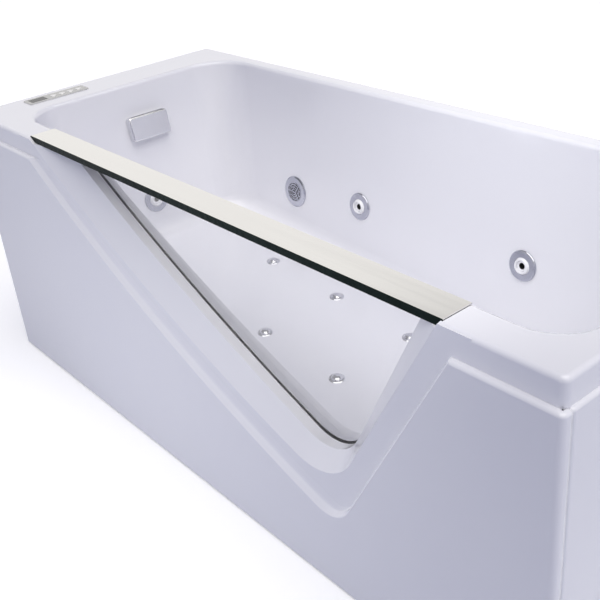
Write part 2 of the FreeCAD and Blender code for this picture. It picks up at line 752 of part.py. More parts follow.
overflow_inside = rod(V(0, 0, overflow_floor), up, overflow_bore, overflow_barrel_depth + 5)
waste_top = overflow_seat.multVec(V(0, 0, -waste_depth))
drain_bottom = floor_frame.multVec(V(drain_x, drain_y, -drain_body_depth))
waste_run_z = drain_bottom.z + waste_radius + waste_run_gap
waste_points = [
    waste_top,
    V(waste_top.x, waste_top.y, waste_run_z),
    V(waste_top.x + 5 * pipe_bend, drain_y, waste_run_z),
    V(drain_x, drain_y, waste_run_z),
]
overflow_block = placed(overflow_body.fuse(overflow_inside), overflow_seat)
drain_block = on_floor(rod(V(0, 0, -drain_body_depth), up, drain_body_radius, drain_body_depth), drain_x,
                       drain_y)
overflow_pipe = pipe(waste_points, waste_radius, waste_bore, pipe_bend)
export("overflow_pipe", overflow_pipe.cut([overflow_block, drain_block]))
overflow_port = bar_between(waste_points[0], waste_points[1], waste_bore)
overflow_port = overflow_port.common(placed(rod(V(0, 0, -overflow_barrel_depth), up, half_w,
                                                overflow_barrel_depth),
                                            overflow_seat))
export("overflow_body", placed(overflow_body, overflow_seat).cut(overflow_port))

# Drain: flange, gasket, body and outlet bend, with a lifting plug on a guided stem
throat = drain_throat_radius
flange_low = -sheet - drain_gasket_thickness - 3 * nut_thickness
drain_flange = turned([(throat, flange_low), (drain_barrel_radius, flange_low), (drain_barrel_radius, 0),
                       (drain_flange_radius, 0), (drain_flange_radius, 1), (drain_flange_radius - 3, 2.5),
                       (throat + 2, 2.5), (throat, 0.5)])
guide_low = flange_low + nut_thickness / 2
arms = group([box(-throat - 1, throat + 1, -2, 2, flange_low, guide_low),
              box(-2, 2, -throat - 1, throat + 1, flange_low, guide_low)])
guide = rod(V(0, 0, flange_low), up, 2.2 * plug_stem_radius, guide_low - flange_low)
drain_flange = drain_flange.fuse([arms, guide]).cut(hole(plug_stem_radius + fit_gap, drain_body_depth))
export("drain_flange", on_floor(drain_flange, drain_x, drain_y))
gasket_low = -sheet - drain_gasket_thickness
gasket = ring(drain_barrel_radius + fit_gap, drain_flange_radius, gasket_low, -sheet)
export("drain_gasket", on_floor(gasket, drain_x, drain_y))
body_bore = drain_barrel_radius + thread_gap
drain_body = turned([(body_bore, gasket_low), (drain_flange_radius + 3, gasket_low),
                     (drain_flange_radius + 3, gasket_low - 5), (drain_body_radius, gasket_low - 5),
                     (drain_body_radius, -drain_body_depth), (0, -drain_body_depth),
                     (0, suction_barrel_wall - drain_body_depth),
                     (body_bore, suction_barrel_wall - drain_body_depth)])
waste_port = bar_between(waste_points[2], waste_points[3], waste_bore).common(drain_block)
outlet_port = rod(drain_bottom - up * outlet_radius, up, outlet_bore, 2 * outlet_radius)
export("drain_body", on_floor(drain_body, drain_x, drain_y).cut([waste_port, outlet_port]))
plug = turned([(0, 2.5 + fit_gap), (plug_radius, 2.5 + fit_gap), (plug_radius, 4.2),
               (plug_radius - 4, 6.5),
               (plug_radius / 2, 8.3), (0, 8.8)])
stem = rod(V(0, 0, -plug_stem_length - nut_thickness / 2), up, plug_stem_radius,
           plug_stem_length + nut_thickness)
export("drain_plug", on_floor(plug.fuse(stem), drain_x, drain_y))
outlet_z = pump_z - suction_pipe_radius - crossing_gap - outlet_radius
outlet_points = [
    V(drain_bottom.x, drain_y, drain_bottom.z + outlet_radius / 2),
    V(drain_bottom.x, drain_y, outlet_z),
    V(drain_bottom.x, rim_y1 - sheet - spigot_length, outlet_z),
]
outlet = pipe(outlet_points, outlet_radius, outlet_bore, outlet_bend).cut(drain_block)
outlet_spigot = rod(outlet_points[-1], V(0, 1, 0), outlet_radius - spigot_step, spigot_length)
outlet_spigot = outlet_spigot.cut(rod(outlet_points[-1], V(0, 1, 0), outlet_bore, spigot_length))
export("drain_outlet", outlet.fuse(outlet_spigot))

# Air jets: domed caps with slits, stems through the floor, nuts, and one pipe that feeds both rows
dome = turned([(0, 0), (air_cap_radius, 0), (air_cap_radius, 0.8), (air_cap_radius - 2, 1.8),
               (air_dome_radius, 2), (air_dome_radius, 3.2), (air_dome_radius - 1.5, 5),
               (air_dome_radius - 5, air_cap_height - 0.6), (0, air_cap_height)])
air_cap = dome.cut([box(-air_dome_radius, air_dome_radius, -0.8, 0.8, 2.4, 3.6),
                    box(-0.8, 0.8, -air_dome_radius, air_dome_radius, 2.4, 3.6)])
export("air_jet_caps", group([on_floor(air_cap, x, y) for x, y in air_places]))
air_points = [V(air_pipe_start, air_jet_ys[0], -air_pipe_depth),
              V(air_pipe_turn, air_jet_ys[0], -air_pipe_depth),
              V(air_pipe_turn, air_jet_ys[1], -air_pipe_depth),
              V(air_pipe_start, air_jet_ys[1], -air_pipe_depth)]
air_core = pipe_core(air_points, air_pipe_radius, pipe_bend)
air_stem = rod(V(0, 0, -air_pipe_depth), up, air_stem_radius, air_pipe_depth)
air_bodies = []
for x, y in air_places:
    stem_here = placed(air_stem, FreeCAD.Placement(V(x, y, 0), FreeCAD.Rotation())).cut(air_core)
    air_bodies.append(placed(stem_here, floor_frame))
export("air_jet_bodies", group(air_bodies))
nuts = [placed(nut(jet_barrel_radius, nut_margin, nut_thickness), place) for place in jet_seats.values()]
nuts.append(placed(nut(suction_barrel_radius, nut_margin, nut_thickness), suction_seat))
nuts.append(placed(nut(overflow_barrel_radius, nut_margin, nut_thickness), overflow_seat))
nuts += [on_floor(nut(air_stem_radius, nut_margin, air_nut_thickness), x, y) for x, y in air_places]
export("fitting_nuts", group(nuts))
export("air_manifold", on_floor(air_core.cut(pipe_core(air_points, air_pipe_bore, pipe_bend)), 0, 0))
spigot_x = blower_x - blower_radius - 2 * blower_outlet_half
feed_start = floor_frame.multVec(V(air_pipe_turn, air_feed_y, -air_pipe_depth))
feed_z = tray_top + blower_height / 2
feed_points = [feed_start, V(tray_left - 2 * pipe_bend, air_feed_y, feed_start.z),
               V(tray_left, air_feed_y, feed_z),
               V(spigot_x, air_feed_y, feed_z)]
air_feed = pipe(feed_points, air_pipe_radius, air_pipe_bore, pipe_bend)
export("air_feed_pipe", air_feed.cut(on_floor(air_core, 0, 0)))

# Blower: round housing with a side outlet, a slotted cover and a fan wheel on a fixed spindle
blower_y = air_feed_y - blower_outlet_offset
blower_base = V(blower_x, blower_y, tray_top)
blower_top = tray_top + blower_height
outlet_y0 = air_feed_y - blower_outlet_half
outlet_y1 = air_feed_y + blower_outlet_half
outlet_low = feed_z - blower_outlet_half
outlet_high = feed_z + blower_outlet_half
spigot_wall = 2 * bar_wall
duct = box(spigot_x + spigot_wall, blower_x, outlet_y0, outlet_y1, outlet_low, outlet_high)
duct_inside = box(spigot_x + 2 * spigot_wall, blower_x, outlet_y0 + spigot_wall, outlet_y1 - spigot_wall,
                  outlet_low + spigot_wall, outlet_high - spigot_wall)
spigot = rod(V(spigot_x, air_feed_y, feed_z), V(1, 0, 0), blower_spigot_radius, 2 * spigot_wall)
spigot_hole = rod(V(spigot_x, air_feed_y, feed_z), V(1, 0, 0), air_pipe_bore, 3 * spigot_wall)
scroll_inside = rod(blower_base + up * blower_wall, up, blower_radius - blower_wall, blower_height)
spindle = rod(blower_base + up * blower_wall, up, spindle_radius, blower_height - 3 * blower_wall)
shoulder = rod(blower_base + up * blower_wall, up, 2.5 * spindle_radius, blower_wall)
blower_housing = rod(blower_base, up, blower_radius, blower_height).fuse([duct, spigot])
blower_housing = blower_housing.cut([scroll_inside, duct_inside, spigot_hole]).fuse([spindle, shoulder])
export("blower_housing", blower_housing)
cover_plate = rod(V(0, 0, 0), up, blower_radius, cover_thickness)
for step in range(12):
    inlet = box(10, blower_radius / 2, -2, 2, -1, cover_thickness + 1)
    inlet.rotate(V(0, 0, 0), up, 30 * step)
    cover_plate = cover_plate.cut(inlet)
export("blower_cover", placed(cover_plate,
                              FreeCAD.Placement(V(blower_x, blower_y, blower_top), FreeCAD.Rotation())))
fan_low = 2 * blower_wall + fit_gap
fan_high = blower_height - 2 * blower_wall
fan = ring(spindle_radius + spindle_gap, 12, fan_low, fan_high - blower_wall)
fan = fan.fuse([ring(10, fan_radius, fan_low, fan_low + 3),
                ring(fan_inner, fan_radius, fan_high - 3, fan_high)])
for step in range(fan_blades):
    blade = box(fan_inner, fan_radius - 1, -1, 1, fan_low + 1, fan_high - 1)
    blade.rotate(V(fan_radius - 1, 0, 0), up, -25)
    blade.rotate(V(0, 0, 0), up, 360 * step / fan_blades)
    fan = fan.fuse(blade)
export("blower_fan", placed(fan, FreeCAD.Placement(blower_base, FreeCAD.Rotation())))

# Pump: local Z runs along the shaft from the inlet to the motor
pump_place = FreeCAD.Placement(V(pump_face_x, pump_y, pump_z), FreeCAD.Rotation(V(0, 1, 0), 90))
volute = rod(V(0, 0, 0), up, volute_radius, volute_length)
inlet_tube = rod(V(0, 0, -pump_inlet_length), up, pump_port_radius, pump_inlet_length + 1)
outlet_tube = rod(V(0, 0, volute_length / 2), V(-1, 0, 0), pump_port_radius, pump_outlet_top)
pump_housing = volute.fuse([inlet_tube, outlet_tube]).cut([
    rod(V(0, 0, volute_wall), up, volute_cavity, volute_length - 2 * volute_wall),
    rod(V(0, 0, -pump_inlet_length), up, pump_port_bore, 2 * pump_inlet_length),
    rod(V(0, 0, volute_length / 2), V(-1, 0, 0), pump_port_bore, pump_outlet_top),
    rod(V(0, 0, volute_length / 2), up, shaft_pass, volute_length)])
export("pump_housing", placed(pump_housing, pump_place))
motor_end = volute_length + motor_length
motor_in = volute_length + motor_wall
motor_out = motor_end - motor_wall
motor = rod(V(0, 0, volute_length), up, motor_radius, motor_length)
motor = motor.cut([rod(V(0, 0, motor_in), up, motor_radius - motor_wall, motor_out - motor_in),
                   rod(V(0, 0, volute_length), up, shaft_pass, motor_wall)])
front_boss = ring(bearing_radius, bearing_radius + motor_wall, motor_in, motor_in + bearing_length)
rear_boss = ring(bearing_radius, bearing_radius + motor_wall, motor_out - bearing_length, motor_out)
fins = []
fin_low = volute_length + 2 * bearing_length
for step in range(motor_fins):
    fin = box(motor_radius - 1, motor_radius + motor_fin, -1, 1, fin_low, motor_end - 2 * bearing_length)
    fin.rotate(V(0, 0, 0), up, 360 * step / motor_fins)
    fins.append(fin)
motor = motor.fuse([front_boss, rear_boss] + fins)
export("pump_motor", placed(motor, pump_place))
bearings = [ring(shaft_radius + shaft_gap, bearing_radius, low, low + bearing_length)
            for low in (motor_in, motor_out - bearing_length)]
export("pump_bearings", group([placed(b, pump_place) for b in bearings]))
shaft_start = volute_wall + 2 * motor_wall
shaft = rod(V(0, 0, shaft_start), up, shaft_radius, motor_out - seam_gap - shaft_start)
core = rod(V(0, 0, motor_in + 2 * bearing_length), up, rotor_radius,
           motor_length - 2 * motor_wall - 4 * bearing_length)
export("pump_shaft", placed(shaft.fuse(core), pump_place))
impeller = ring(shaft_radius, 2 * shaft_radius, shaft_start, shaft_start + 3 * motor_wall)
impeller = impeller.fuse(ring(1.5 * shaft_radius, impeller_radius, shaft_start + 2 * motor_wall,
                              shaft_start + 3 * motor_wall))
for step in range(5):
    vane = box(1.5 * shaft_radius, impeller_radius - 1, -1.5, 1.5, shaft_start,
               shaft_start + 2.5 * motor_wall)
    vane.rotate(V(1.5 * shaft_radius, 0, 0), up, 25)
    vane.rotate(V(0, 0, 0), up, 72 * step)
    impeller = impeller.fuse(vane)
impeller = impeller.common(rod(V(0, 0, shaft_start), up, impeller_radius, 4 * motor_wall))
export("pump_impeller", placed(impeller, pump_place))
base_x0 = pump_face_x + volute_length + 2 * bearing_length
base_x1 = pump_face_x + motor_end - 2 * bearing_length
pump_base = box(base_x0, base_x1, pump_y - motor_radius * 0.7, pump_y + motor_radius * 0.7, tray_top,
                pump_z - motor_radius / 2)
motor_clear = rod(V(0, 0, volute_length), up, motor_radius + motor_fin + fit_gap, motor_length)
export("pump_base", pump_base.cut(placed(motor_clear, pump_place)))

# Controls on the deck: a thin bezel, a dark display, four push buttons and the module below the deck
bezel_top = deck_height + bezel_thickness
bezel = rounded_block(bezel_x0, bezel_x1, bezel_y0, bezel_y1, bezel_corner, deck_height, bezel_top)
display_y0 = bezel_y0 + module_margin + seam_gap
display = [bezel_x - display_width / 2, bezel_x + display_width / 2, display_y0,
           display_y0 + display_length]
display_pocket = box(display[0], display[1], display[2], display[3], deck_height + bezel_thickness / 2,
                     bezel_top)
button_holes = [rod(V(bezel_x, y, deck_height - 1), up, button_radius + fit_gap, 2 * bezel_thickness)
                for y in button_ys]
export("control_bezel", bezel.cut([display_pocket] + button_holes))
export("control_display", display_pocket)
module = box(module_box[0], module_box[1], module_box[2], module_box[3], deck_height - module_depth,
             deck_height)
wells = [rod(V(bezel_x, y, deck_height - button_well), up, button_radius + fit_gap, button_well)
         for y in button_ys]
export("control_module", module.cut(wells))
button_bottom = deck_height - button_well + button_travel + fit_gap
for number, y in enumerate(button_ys, 1):
    button = rod(V(bezel_x, y, button_bottom), up, button_radius,
                 bezel_top + button_stand - button_bottom)
    rim = [e for e in button.Edges if e.CenterOfMass.z > bezel_top and len(e.Vertexes) == 1]
    export("control_button_%d" % number, button.makeFillet(button_stand, rim))

# Electric box on the tray, with a cable gland through the tray but no cable
box_x1 = box_x + box_length
box_y0 = blower_y + blower_radius + box_stand_gap
box_y1 = box_y0 + box_width
box_top = tray_top + box_height
case = box(box_x, box_x1, box_y0, box_y1, tray_top, box_top)
case_inside = box(box_x + box_wall, box_x1 - box_wall, box_y0 + box_wall, box_y1 - box_wall,
                  tray_top + box_wall, box_top)
gland_base = V((box_x + box_x1) / 2, (box_y0 + box_y1) / 2, tray_top + box_wall)
gland_axis = V(0, 0, -1)
gland_thread = box_wall + tray_thickness
gland_hole = rod(gland_base, gland_axis, gland_radius - box_wall + fit_gap, gland_thread)
lid = box(box_x - seam_gap, box_x1 + seam_gap, box_y0 - seam_gap, box_y1 + seam_gap, box_top,
          box_top + box_lid)
export("control_box", group([case.cut([case_inside, gland_hole]), lid]))
gland = rod(gland_base, gland_axis, gland_radius - box_wall, gland_thread)
gland = gland.fuse(rod(gland_base + gland_axis * gland_thread, gland_axis, gland_radius, gland_length))
gland = gland.cut(rod(gland_base, gland_axis, gland_bore, 3 * gland_length))
export("cable_gland", gland)


# Frame of square tubes, pads under the basin, tray and levelling feet
def tube_x(x0, x1, y, z0):
    inner = box(x0, x1, y - bar / 2 + bar_wall, y + bar / 2 - bar_wall, z0 + bar_wall,
                z0 + bar - bar_wall)
    return box(x0, x1, y - bar / 2, y + bar / 2, z0, z0 + bar).cut(inner)


def tube_y(x, y0, y1, z0):
    inner = box(x - bar / 2 + bar_wall, x + bar / 2 - bar_wall, y0, y1, z0 + bar_wall,
                z0 + bar - bar_wall)
    return box(x - bar / 2, x + bar / 2, y0, y1, z0, z0 + bar).cut(inner)


def tube_z(x, y, z0, z1):
    inner = box(x - bar / 2 + bar_wall, x + bar / 2 - bar_wall, y - bar / 2 + bar_wall,
                y + bar / 2 - bar_wall, z0, z1)
    return box(x - bar / 2, x + bar / 2, y - bar / 2, y + bar / 2, z0, z1).cut(inner)


foot_places = [(x, y) for x in foot_xs for y in (frame_front_y, frame_back_y)]
foot_holes = [rod(V(x, y, frame_bottom - 1), up, foot_stem_radius + fit_gap, bar / 2)
              for x, y in foot_places]
rails = [tube_x(-frame_x - bar / 2, frame_x + bar / 2, y, frame_bottom)
         for y in (frame_front_y, frame_back_y)]
cross = [tube_y(x, frame_front_y + bar / 2, frame_back_y - bar / 2, frame_bottom)
         for x in [-frame_x] + cross_xs + [frame_x]]
export("frame_rails", group([rail.cut(foot_holes) for rail in rails] + cross))
upright_top = deck_height - sheet
uprights = [tube_z(x, y, frame_top, upright_top) for x in (-frame_x, frame_x)
            for y in (frame_front_y, frame_back_y)]
export("frame_uprights", group(uprights))
pad_back_y = pump_y - suction_pipe_radius - pad_gap - pad_size / 2
pads = []
for x in pad_cross_xs:
    for y in (mouth_y0 + pad_front_inset, pad_back_y):
        pad = box(x - pad_size / 2, x + pad_size / 2, y - pad_size / 2, y + pad_size / 2, frame_top,
                  deck_height / 2)
        pads.append(pad.cut(outer_basin.fuse(cavity)))
export("support_pads", group(pads))
tray_y0 = frame_front_y + bar / 2 + tray_gap
tray_y1 = frame_back_y - bar / 2 - tray_gap
tray = box(tray_left, tray_right, tray_y0, tray_y1, frame_top, tray_top)
export("equipment_tray", tray.cut(gland_hole))
foot = turned([(0, 0), (foot_pad_radius, 0), (foot_pad_radius, foot_pad_height / 2),
               (foot_stem_radius * 2, foot_pad_height),
               (foot_stem_radius, foot_pad_height), (foot_stem_radius, frame_bottom + bar / 3),
               (0, frame_bottom + bar / 3)])
foot_nut = ring(foot_stem_radius + thread_gap, foot_nut_radius, frame_bottom - foot_nut_height,
                frame_bottom)
foot_spots = [FreeCAD.Placement(V(x, y, 0), FreeCAD.Rotation()) for x, y in foot_places]
export("feet", group([placed(foot, spot) for spot in foot_spots]))
export("foot_lock_nuts", group([placed(foot_nut, spot) for spot in foot_spots]))
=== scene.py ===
import json
import bmesh
import bpy
import numpy as np
from mathutils import Matrix, Vector


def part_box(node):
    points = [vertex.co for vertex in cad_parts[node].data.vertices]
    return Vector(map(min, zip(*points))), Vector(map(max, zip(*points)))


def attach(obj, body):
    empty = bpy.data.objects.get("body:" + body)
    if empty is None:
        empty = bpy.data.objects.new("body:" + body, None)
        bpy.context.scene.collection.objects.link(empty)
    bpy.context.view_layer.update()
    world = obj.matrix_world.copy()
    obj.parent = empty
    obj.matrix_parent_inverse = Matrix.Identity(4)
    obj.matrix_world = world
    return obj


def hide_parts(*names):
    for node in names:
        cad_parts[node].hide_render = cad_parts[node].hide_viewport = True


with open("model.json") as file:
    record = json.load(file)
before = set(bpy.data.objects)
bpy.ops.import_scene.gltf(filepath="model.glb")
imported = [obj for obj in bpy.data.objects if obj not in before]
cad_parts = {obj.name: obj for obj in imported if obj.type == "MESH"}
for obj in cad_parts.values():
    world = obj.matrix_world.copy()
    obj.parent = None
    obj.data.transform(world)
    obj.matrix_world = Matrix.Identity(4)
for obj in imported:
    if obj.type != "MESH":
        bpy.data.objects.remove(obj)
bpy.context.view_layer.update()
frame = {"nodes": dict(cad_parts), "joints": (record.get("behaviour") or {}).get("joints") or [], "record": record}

nodes = frame["nodes"]
slotOf = {row["node"]: row["material_slot"] for row in frame["record"]["subparts"]}
print("stage: frame loaded,", len(nodes), "nodes")


def addToScene(name, data):
    obj = bpy.data.objects.new(name, data)
    bpy.context.scene.collection.objects.link(obj)
    return obj


# Camera: its axes in the part's frame and its place in metres
view = {"lens": 56.104, "sensor": 36.0, "farClip": 100.0, "place": (1.35802, -1.10816, 1.26057),
        "right": (0.64518239, 0.75928042, -0.0850466),
        "down": (0.32035391, -0.36989682, -0.87209502),
        "forward": (-0.69362314, 0.53541534, -0.48188936)}


def makeCamera():
    data = bpy.data.cameras.new("camera")
    data.lens = view["lens"]
    data.sensor_width = view["sensor"]
    data.clip_end = view["farClip"]
    obj = addToScene("camera", data)
    axes = Matrix((view["right"], -Vector(view["down"]), -Vector(view["forward"]))).transposed()
    obj.matrix_world = Matrix.Translation(view["place"]) @ axes.to_4x4()
    bpy.context.scene.camera = obj


makeCamera()
bpy.context.scene.view_settings.view_transform = "Standard"
print("stage: camera")


# Node groups: effects that several finishes share
floatKind = "NodeSocketFloat"
colorKind = "NodeSocketColor"
vectorKind = "NodeSocketVector"
effectInputs = [("Color", colorKind, (0.8, 0.8, 0.8, 1)), ("Tone", colorKind, (0.7, 0.7, 0.7, 1)),
                ("Scale", floatKind, 6.0), ("Stretch", vectorKind, (1, 1, 1)), ("Fine", floatKind, 90.0),
                ("Low Rough", floatKind, 0.1), ("High Rough", floatKind, 0.2)]
effectOutputs = [("Color", colorKind), ("Roughness", floatKind), ("Height", floatKind)]
strandTurns = ((0.3, 0.2, 0.5), (1.1, 0.7, 1.6), (2.3, 1.4, 2.7))


def newGroup(name):
    group = bpy.data.node_groups.new(name, "ShaderNodeTree")
    for label, kind, value in effectInputs:
        socket = group.interface.new_socket(label, in_out="INPUT", socket_type=kind)
        socket.default_value = value
    for label, kind in effectOutputs:
        group.interface.new_socket(label, in_out="OUTPUT", socket_type=kind)
    return group, group.nodes.new("NodeGroupInput")


def addNode(tree, kind, settings=None, values=None):
    node = tree.nodes.new(kind)
    for key, value in (settings or {}).items():
        setattr(node, key, value)
    for key, value in (values or {}).items():
        node.inputs[key].default_value = value
    return node


def closeGroup(group, into, tone, rough, height, span):
    # The colour moves to the second tone by one mask, and the roughness between its ends by another
    blend = addNode(group, "ShaderNodeMix", {"data_type": "RGBA"})
    spread = addNode(group, "ShaderNodeMapRange", values={"From Min": span[0], "From Max": span[1]})
    out = group.nodes.new("NodeGroupOutput")
    link = group.links.new
    link(tone, blend.inputs["Factor"])
    link(into.outputs["Color"], blend.inputs["A"])
    link(into.outputs["Tone"], blend.inputs["B"])
    link(rough, spread.inputs["Value"])
    link(into.outputs["Low Rough"], spread.inputs["To Min"])
    link(into.outputs["High Rough"], spread.inputs["To Max"])
    link(blend.outputs["Result"], out.inputs["Color"])
    link(spread.outputs["Result"], out.inputs["Roughness"])
    link(height, out.inputs["Height"])
    return group


def buildDrift():
    # Slow noise shifts the colour; fine noise spreads the roughness and lifts the surface
    group, into = newGroup("surfaceDrift")
    coords = addNode(group, "ShaderNodeTexCoord")
    stretch = addNode(group, "ShaderNodeVectorMath", {"operation": "MULTIPLY"})
    slow = addNode(group, "ShaderNodeTexNoise", values={"Detail": 3.0, "Roughness": 0.5})
    fine = addNode(group, "ShaderNodeTexNoise", values={"Detail": 4.0, "Roughness": 0.6})
    tone = addNode(group, "ShaderNodeMapRange", values={"From Min": 0.35, "From Max": 0.7})
    link = group.links.new
    link(coords.outputs["Object"], stretch.inputs[0])
    link(into.outputs["Stretch"], stretch.inputs[1])
    link(stretch.outputs[0], slow.inputs["Vector"])
    link(stretch.outputs[0], fine.inputs["Vector"])
    link(into.outputs["Scale"], slow.inputs["Scale"])
    link(into.outputs["Fine"], fine.inputs["Scale"])
    link(slow.outputs["Fac"], tone.inputs["Value"])
    height = fine.outputs["Fac"]
    return closeGroup(group, into, tone.outputs["Result"], height, height, (0.35, 0.65))


def buildStrands():
    # Short strands laid three ways: the highest of three noises, each drawn out along its own direction
    group, into = newGroup("laidStrands")
    link = group.links.new
    coords = addNode(group, "ShaderNodeTexCoord")
    highest = None
    for turn in strandTurns:
        spin = addNode(group, "ShaderNodeVectorRotate", {"rotation_type": "EULER_XYZ"}, {"Rotation": turn})
        draw = addNode(group, "ShaderNodeVectorMath", {"operation": "MULTIPLY"})
        noise = addNode(group, "ShaderNodeTexNoise", values={"Detail": 2.0, "Roughness": 0.5})
        link(coords.outputs["Object"], spin.inputs["Vector"])
        link(spin.outputs["Vector"], draw.inputs[0])
        link(into.outputs["Stretch"], draw.inputs[1])
        link(draw.outputs[0], noise.inputs["Vector"])
        link(into.outputs["Fine"], noise.inputs["Scale"])
        if highest is None:
            highest = noise.outputs["Fac"]
            continue
        higher = addNode(group, "ShaderNodeMath", {"operation": "MAXIMUM"})
        link(highest, higher.inputs[0])
        link(noise.outputs["Fac"], higher.inputs[1])
        highest = higher.outputs[0]
    cloud = addNode(group, "ShaderNodeTexNoise", values={"Detail": 3.0})
    strand = addNode(group, "ShaderNodeMapRange", values={"From Min": 0.48, "From Max": 0.72})
    share = addNode(group, "ShaderNodeMath", {"operation": "MULTIPLY"})
    link(coords.outputs["Object"], cloud.inputs["Vector"])
    link(into.outputs["Scale"], cloud.inputs["Scale"])
    link(highest, strand.inputs["Value"])
    link(strand.outputs["Result"], share.inputs[0])
    link(cloud.outputs["Fac"], share.inputs[1])
    height = strand.outputs["Result"]
    return closeGroup(group, into, share.outputs[0], cloud.outputs["Fac"], height, (0.3, 0.7))


def buildGrain():
    # Wood grain: bands along one axis, bent by noise and broken by fine streaks drawn out along the grain
    group, into = newGroup("woodGrain")
    link = group.links.new
    coords = addNode(group, "ShaderNodeTexCoord")
    draw = addNode(group, "ShaderNodeVectorMath", {"operation": "MULTIPLY"})
    bands = addNode(group, "ShaderNodeTexWave", {"bands_direction": "Y"},
                    {"Distortion": 5.0, "Detail": 3.0, "Detail Scale": 1.4})
    streaks = addNode(group, "ShaderNodeTexNoise", values={"Detail": 5.0, "Roughness": 0.65})
    mixed = addNode(group, "ShaderNodeMath", {"operation": "MULTIPLY"})
    link(coords.outputs["Object"], draw.inputs[0])
    link(into.outputs["Stretch"], draw.inputs[1])
    link(draw.outputs[0], bands.inputs["Vector"])
    link(draw.outputs[0], streaks.inputs["Vector"])
    link(into.outputs["Scale"], bands.inputs["Scale"])
    link(into.outputs["Fine"], streaks.inputs["Scale"])
    link(bands.outputs["Fac"], mixed.inputs[0])
    link(streaks.outputs["Fac"], mixed.inputs[1])
    return closeGroup(group, into, mixed.outputs[0], streaks.outputs["Fac"], mixed.outputs[0], (0.3, 0.7))


effects = {"drift": buildDrift(), "strands": buildStrands(), "grain": buildGrain()}


# Finishes: what each look adds to the plain one
plainLook = {"metal": 0.0, "ior": 1.49, "shine": 0.5, "coat": 0.0, "coatRough": 0.03, "clear": 0.0,
             "scale": 6.0, "stretch": (1, 1, 1), "fine": 90.0, "bump": 0.0, "effect": "drift"}
looks = {
    "acrylic_white": {"color": (0.83, 0.83, 0.87), "tone": (0.81, 0.81, 0.86), "scale": 2.2, "fine": 14.0,
                      "rough": (0.09, 0.14), "coat": 0.25, "bump": 0.02, "lift": 0.006},
    "laid_fibre": {"color": (0.60, 0.585, 0.49), "tone": (0.74, 0.73, 0.64), "scale": 9.0, "fine": 26.0,
                   "stretch": (1, 7, 7), "rough": (0.35, 0.6), "bump": 0.35, "lift": 0.004,
                   "effect": "strands"},
    "clear_glass": {"color": (0.73, 0.735, 0.76), "tone": (0.71, 0.715, 0.745), "scale": 3.0, "fine": 40.0,
                    "rough": (0.0, 0.012), "clear": 1.0, "ior": 1.5},
    "black_seal": {"color": (0.012, 0.012, 0.013), "tone": (0.02, 0.02, 0.02), "rough": (0.45, 0.65),
                   "fine": 400.0, "bump": 0.1, "lift": 0.001},
    "polished_steel": {"color": (0.88, 0.868, 0.852), "tone": (0.86, 0.85, 0.835), "scale": 3.0, "fine": 60.0,
                       "stretch": (0.05, 1, 1), "rough": (0.1, 0.17), "metal": 1.0},
    "dark_edge": {"color": (0.005, 0.012, 0.010), "tone": (0.009, 0.018, 0.016), "scale": 20.0, "fine": 60.0,
                  "rough": (0.2, 0.35), "shine": 0.03},
    "chrome": {"color": (0.78, 0.78, 0.81), "tone": (0.74, 0.74, 0.78), "scale": 20.0, "fine": 120.0,
               "rough": (0.03, 0.09), "metal": 1.0},
    "satin_chrome": {"color": (0.52, 0.53, 0.60), "tone": (0.48, 0.49, 0.56), "scale": 30.0, "fine": 160.0,
                     "rough": (0.12, 0.2), "metal": 1.0},
    "pearl_white": {"color": (0.88, 0.88, 0.90), "tone": (0.84, 0.84, 0.88), "scale": 30.0, "fine": 90.0,
                    "rough": (0.08, 0.16), "coat": 0.3},
    "pvc_white": {"color": (0.74, 0.74, 0.71), "tone": (0.68, 0.68, 0.64), "scale": 8.0, "rough": (0.3, 0.45),
                  "bump": 0.05, "lift": 0.002},
    "grey_hose": {"color": (0.33, 0.34, 0.36), "tone": (0.28, 0.29, 0.31), "rough": (0.4, 0.55),
                  "bump": 0.05, "lift": 0.002},
    "black_plastic": {"color": (0.028, 0.028, 0.03), "tone": (0.04, 0.04, 0.043), "fine": 500.0,
                      "rough": (0.35, 0.55), "bump": 0.15, "lift": 0.0008},
    "motor_paint": {"color": (0.075, 0.095, 0.125), "tone": (0.06, 0.075, 0.1), "fine": 300.0,
                    "rough": (0.3, 0.45), "bump": 0.1, "lift": 0.001},
    "bright_steel": {"color": (0.6, 0.6, 0.61), "tone": (0.54, 0.54, 0.55), "fine": 120.0,
                     "rough": (0.26, 0.33), "metal": 1.0},
    "dark_display": {"color": (0.012, 0.013, 0.02), "tone": (0.02, 0.022, 0.03), "rough": (0.04, 0.1)},
    "box_grey": {"color": (0.42, 0.43, 0.44), "tone": (0.38, 0.39, 0.4), "fine": 400.0,
                 "rough": (0.4, 0.55), "bump": 0.12, "lift": 0.001},
    "frame_paint": {"color": (0.45, 0.46, 0.47), "tone": (0.39, 0.4, 0.41), "fine": 260.0,
                    "rough": (0.32, 0.5), "bump": 0.08, "lift": 0.001},
    "pad_wood": {"color": (0.52, 0.36, 0.20), "tone": (0.33, 0.20, 0.10), "scale": 5.0, "fine": 30.0,
                 "stretch": (0.35, 3.5, 3.5), "rough": (0.5, 0.75), "bump": 0.2, "lift": 0.002,
                 "effect": "grain"},
}


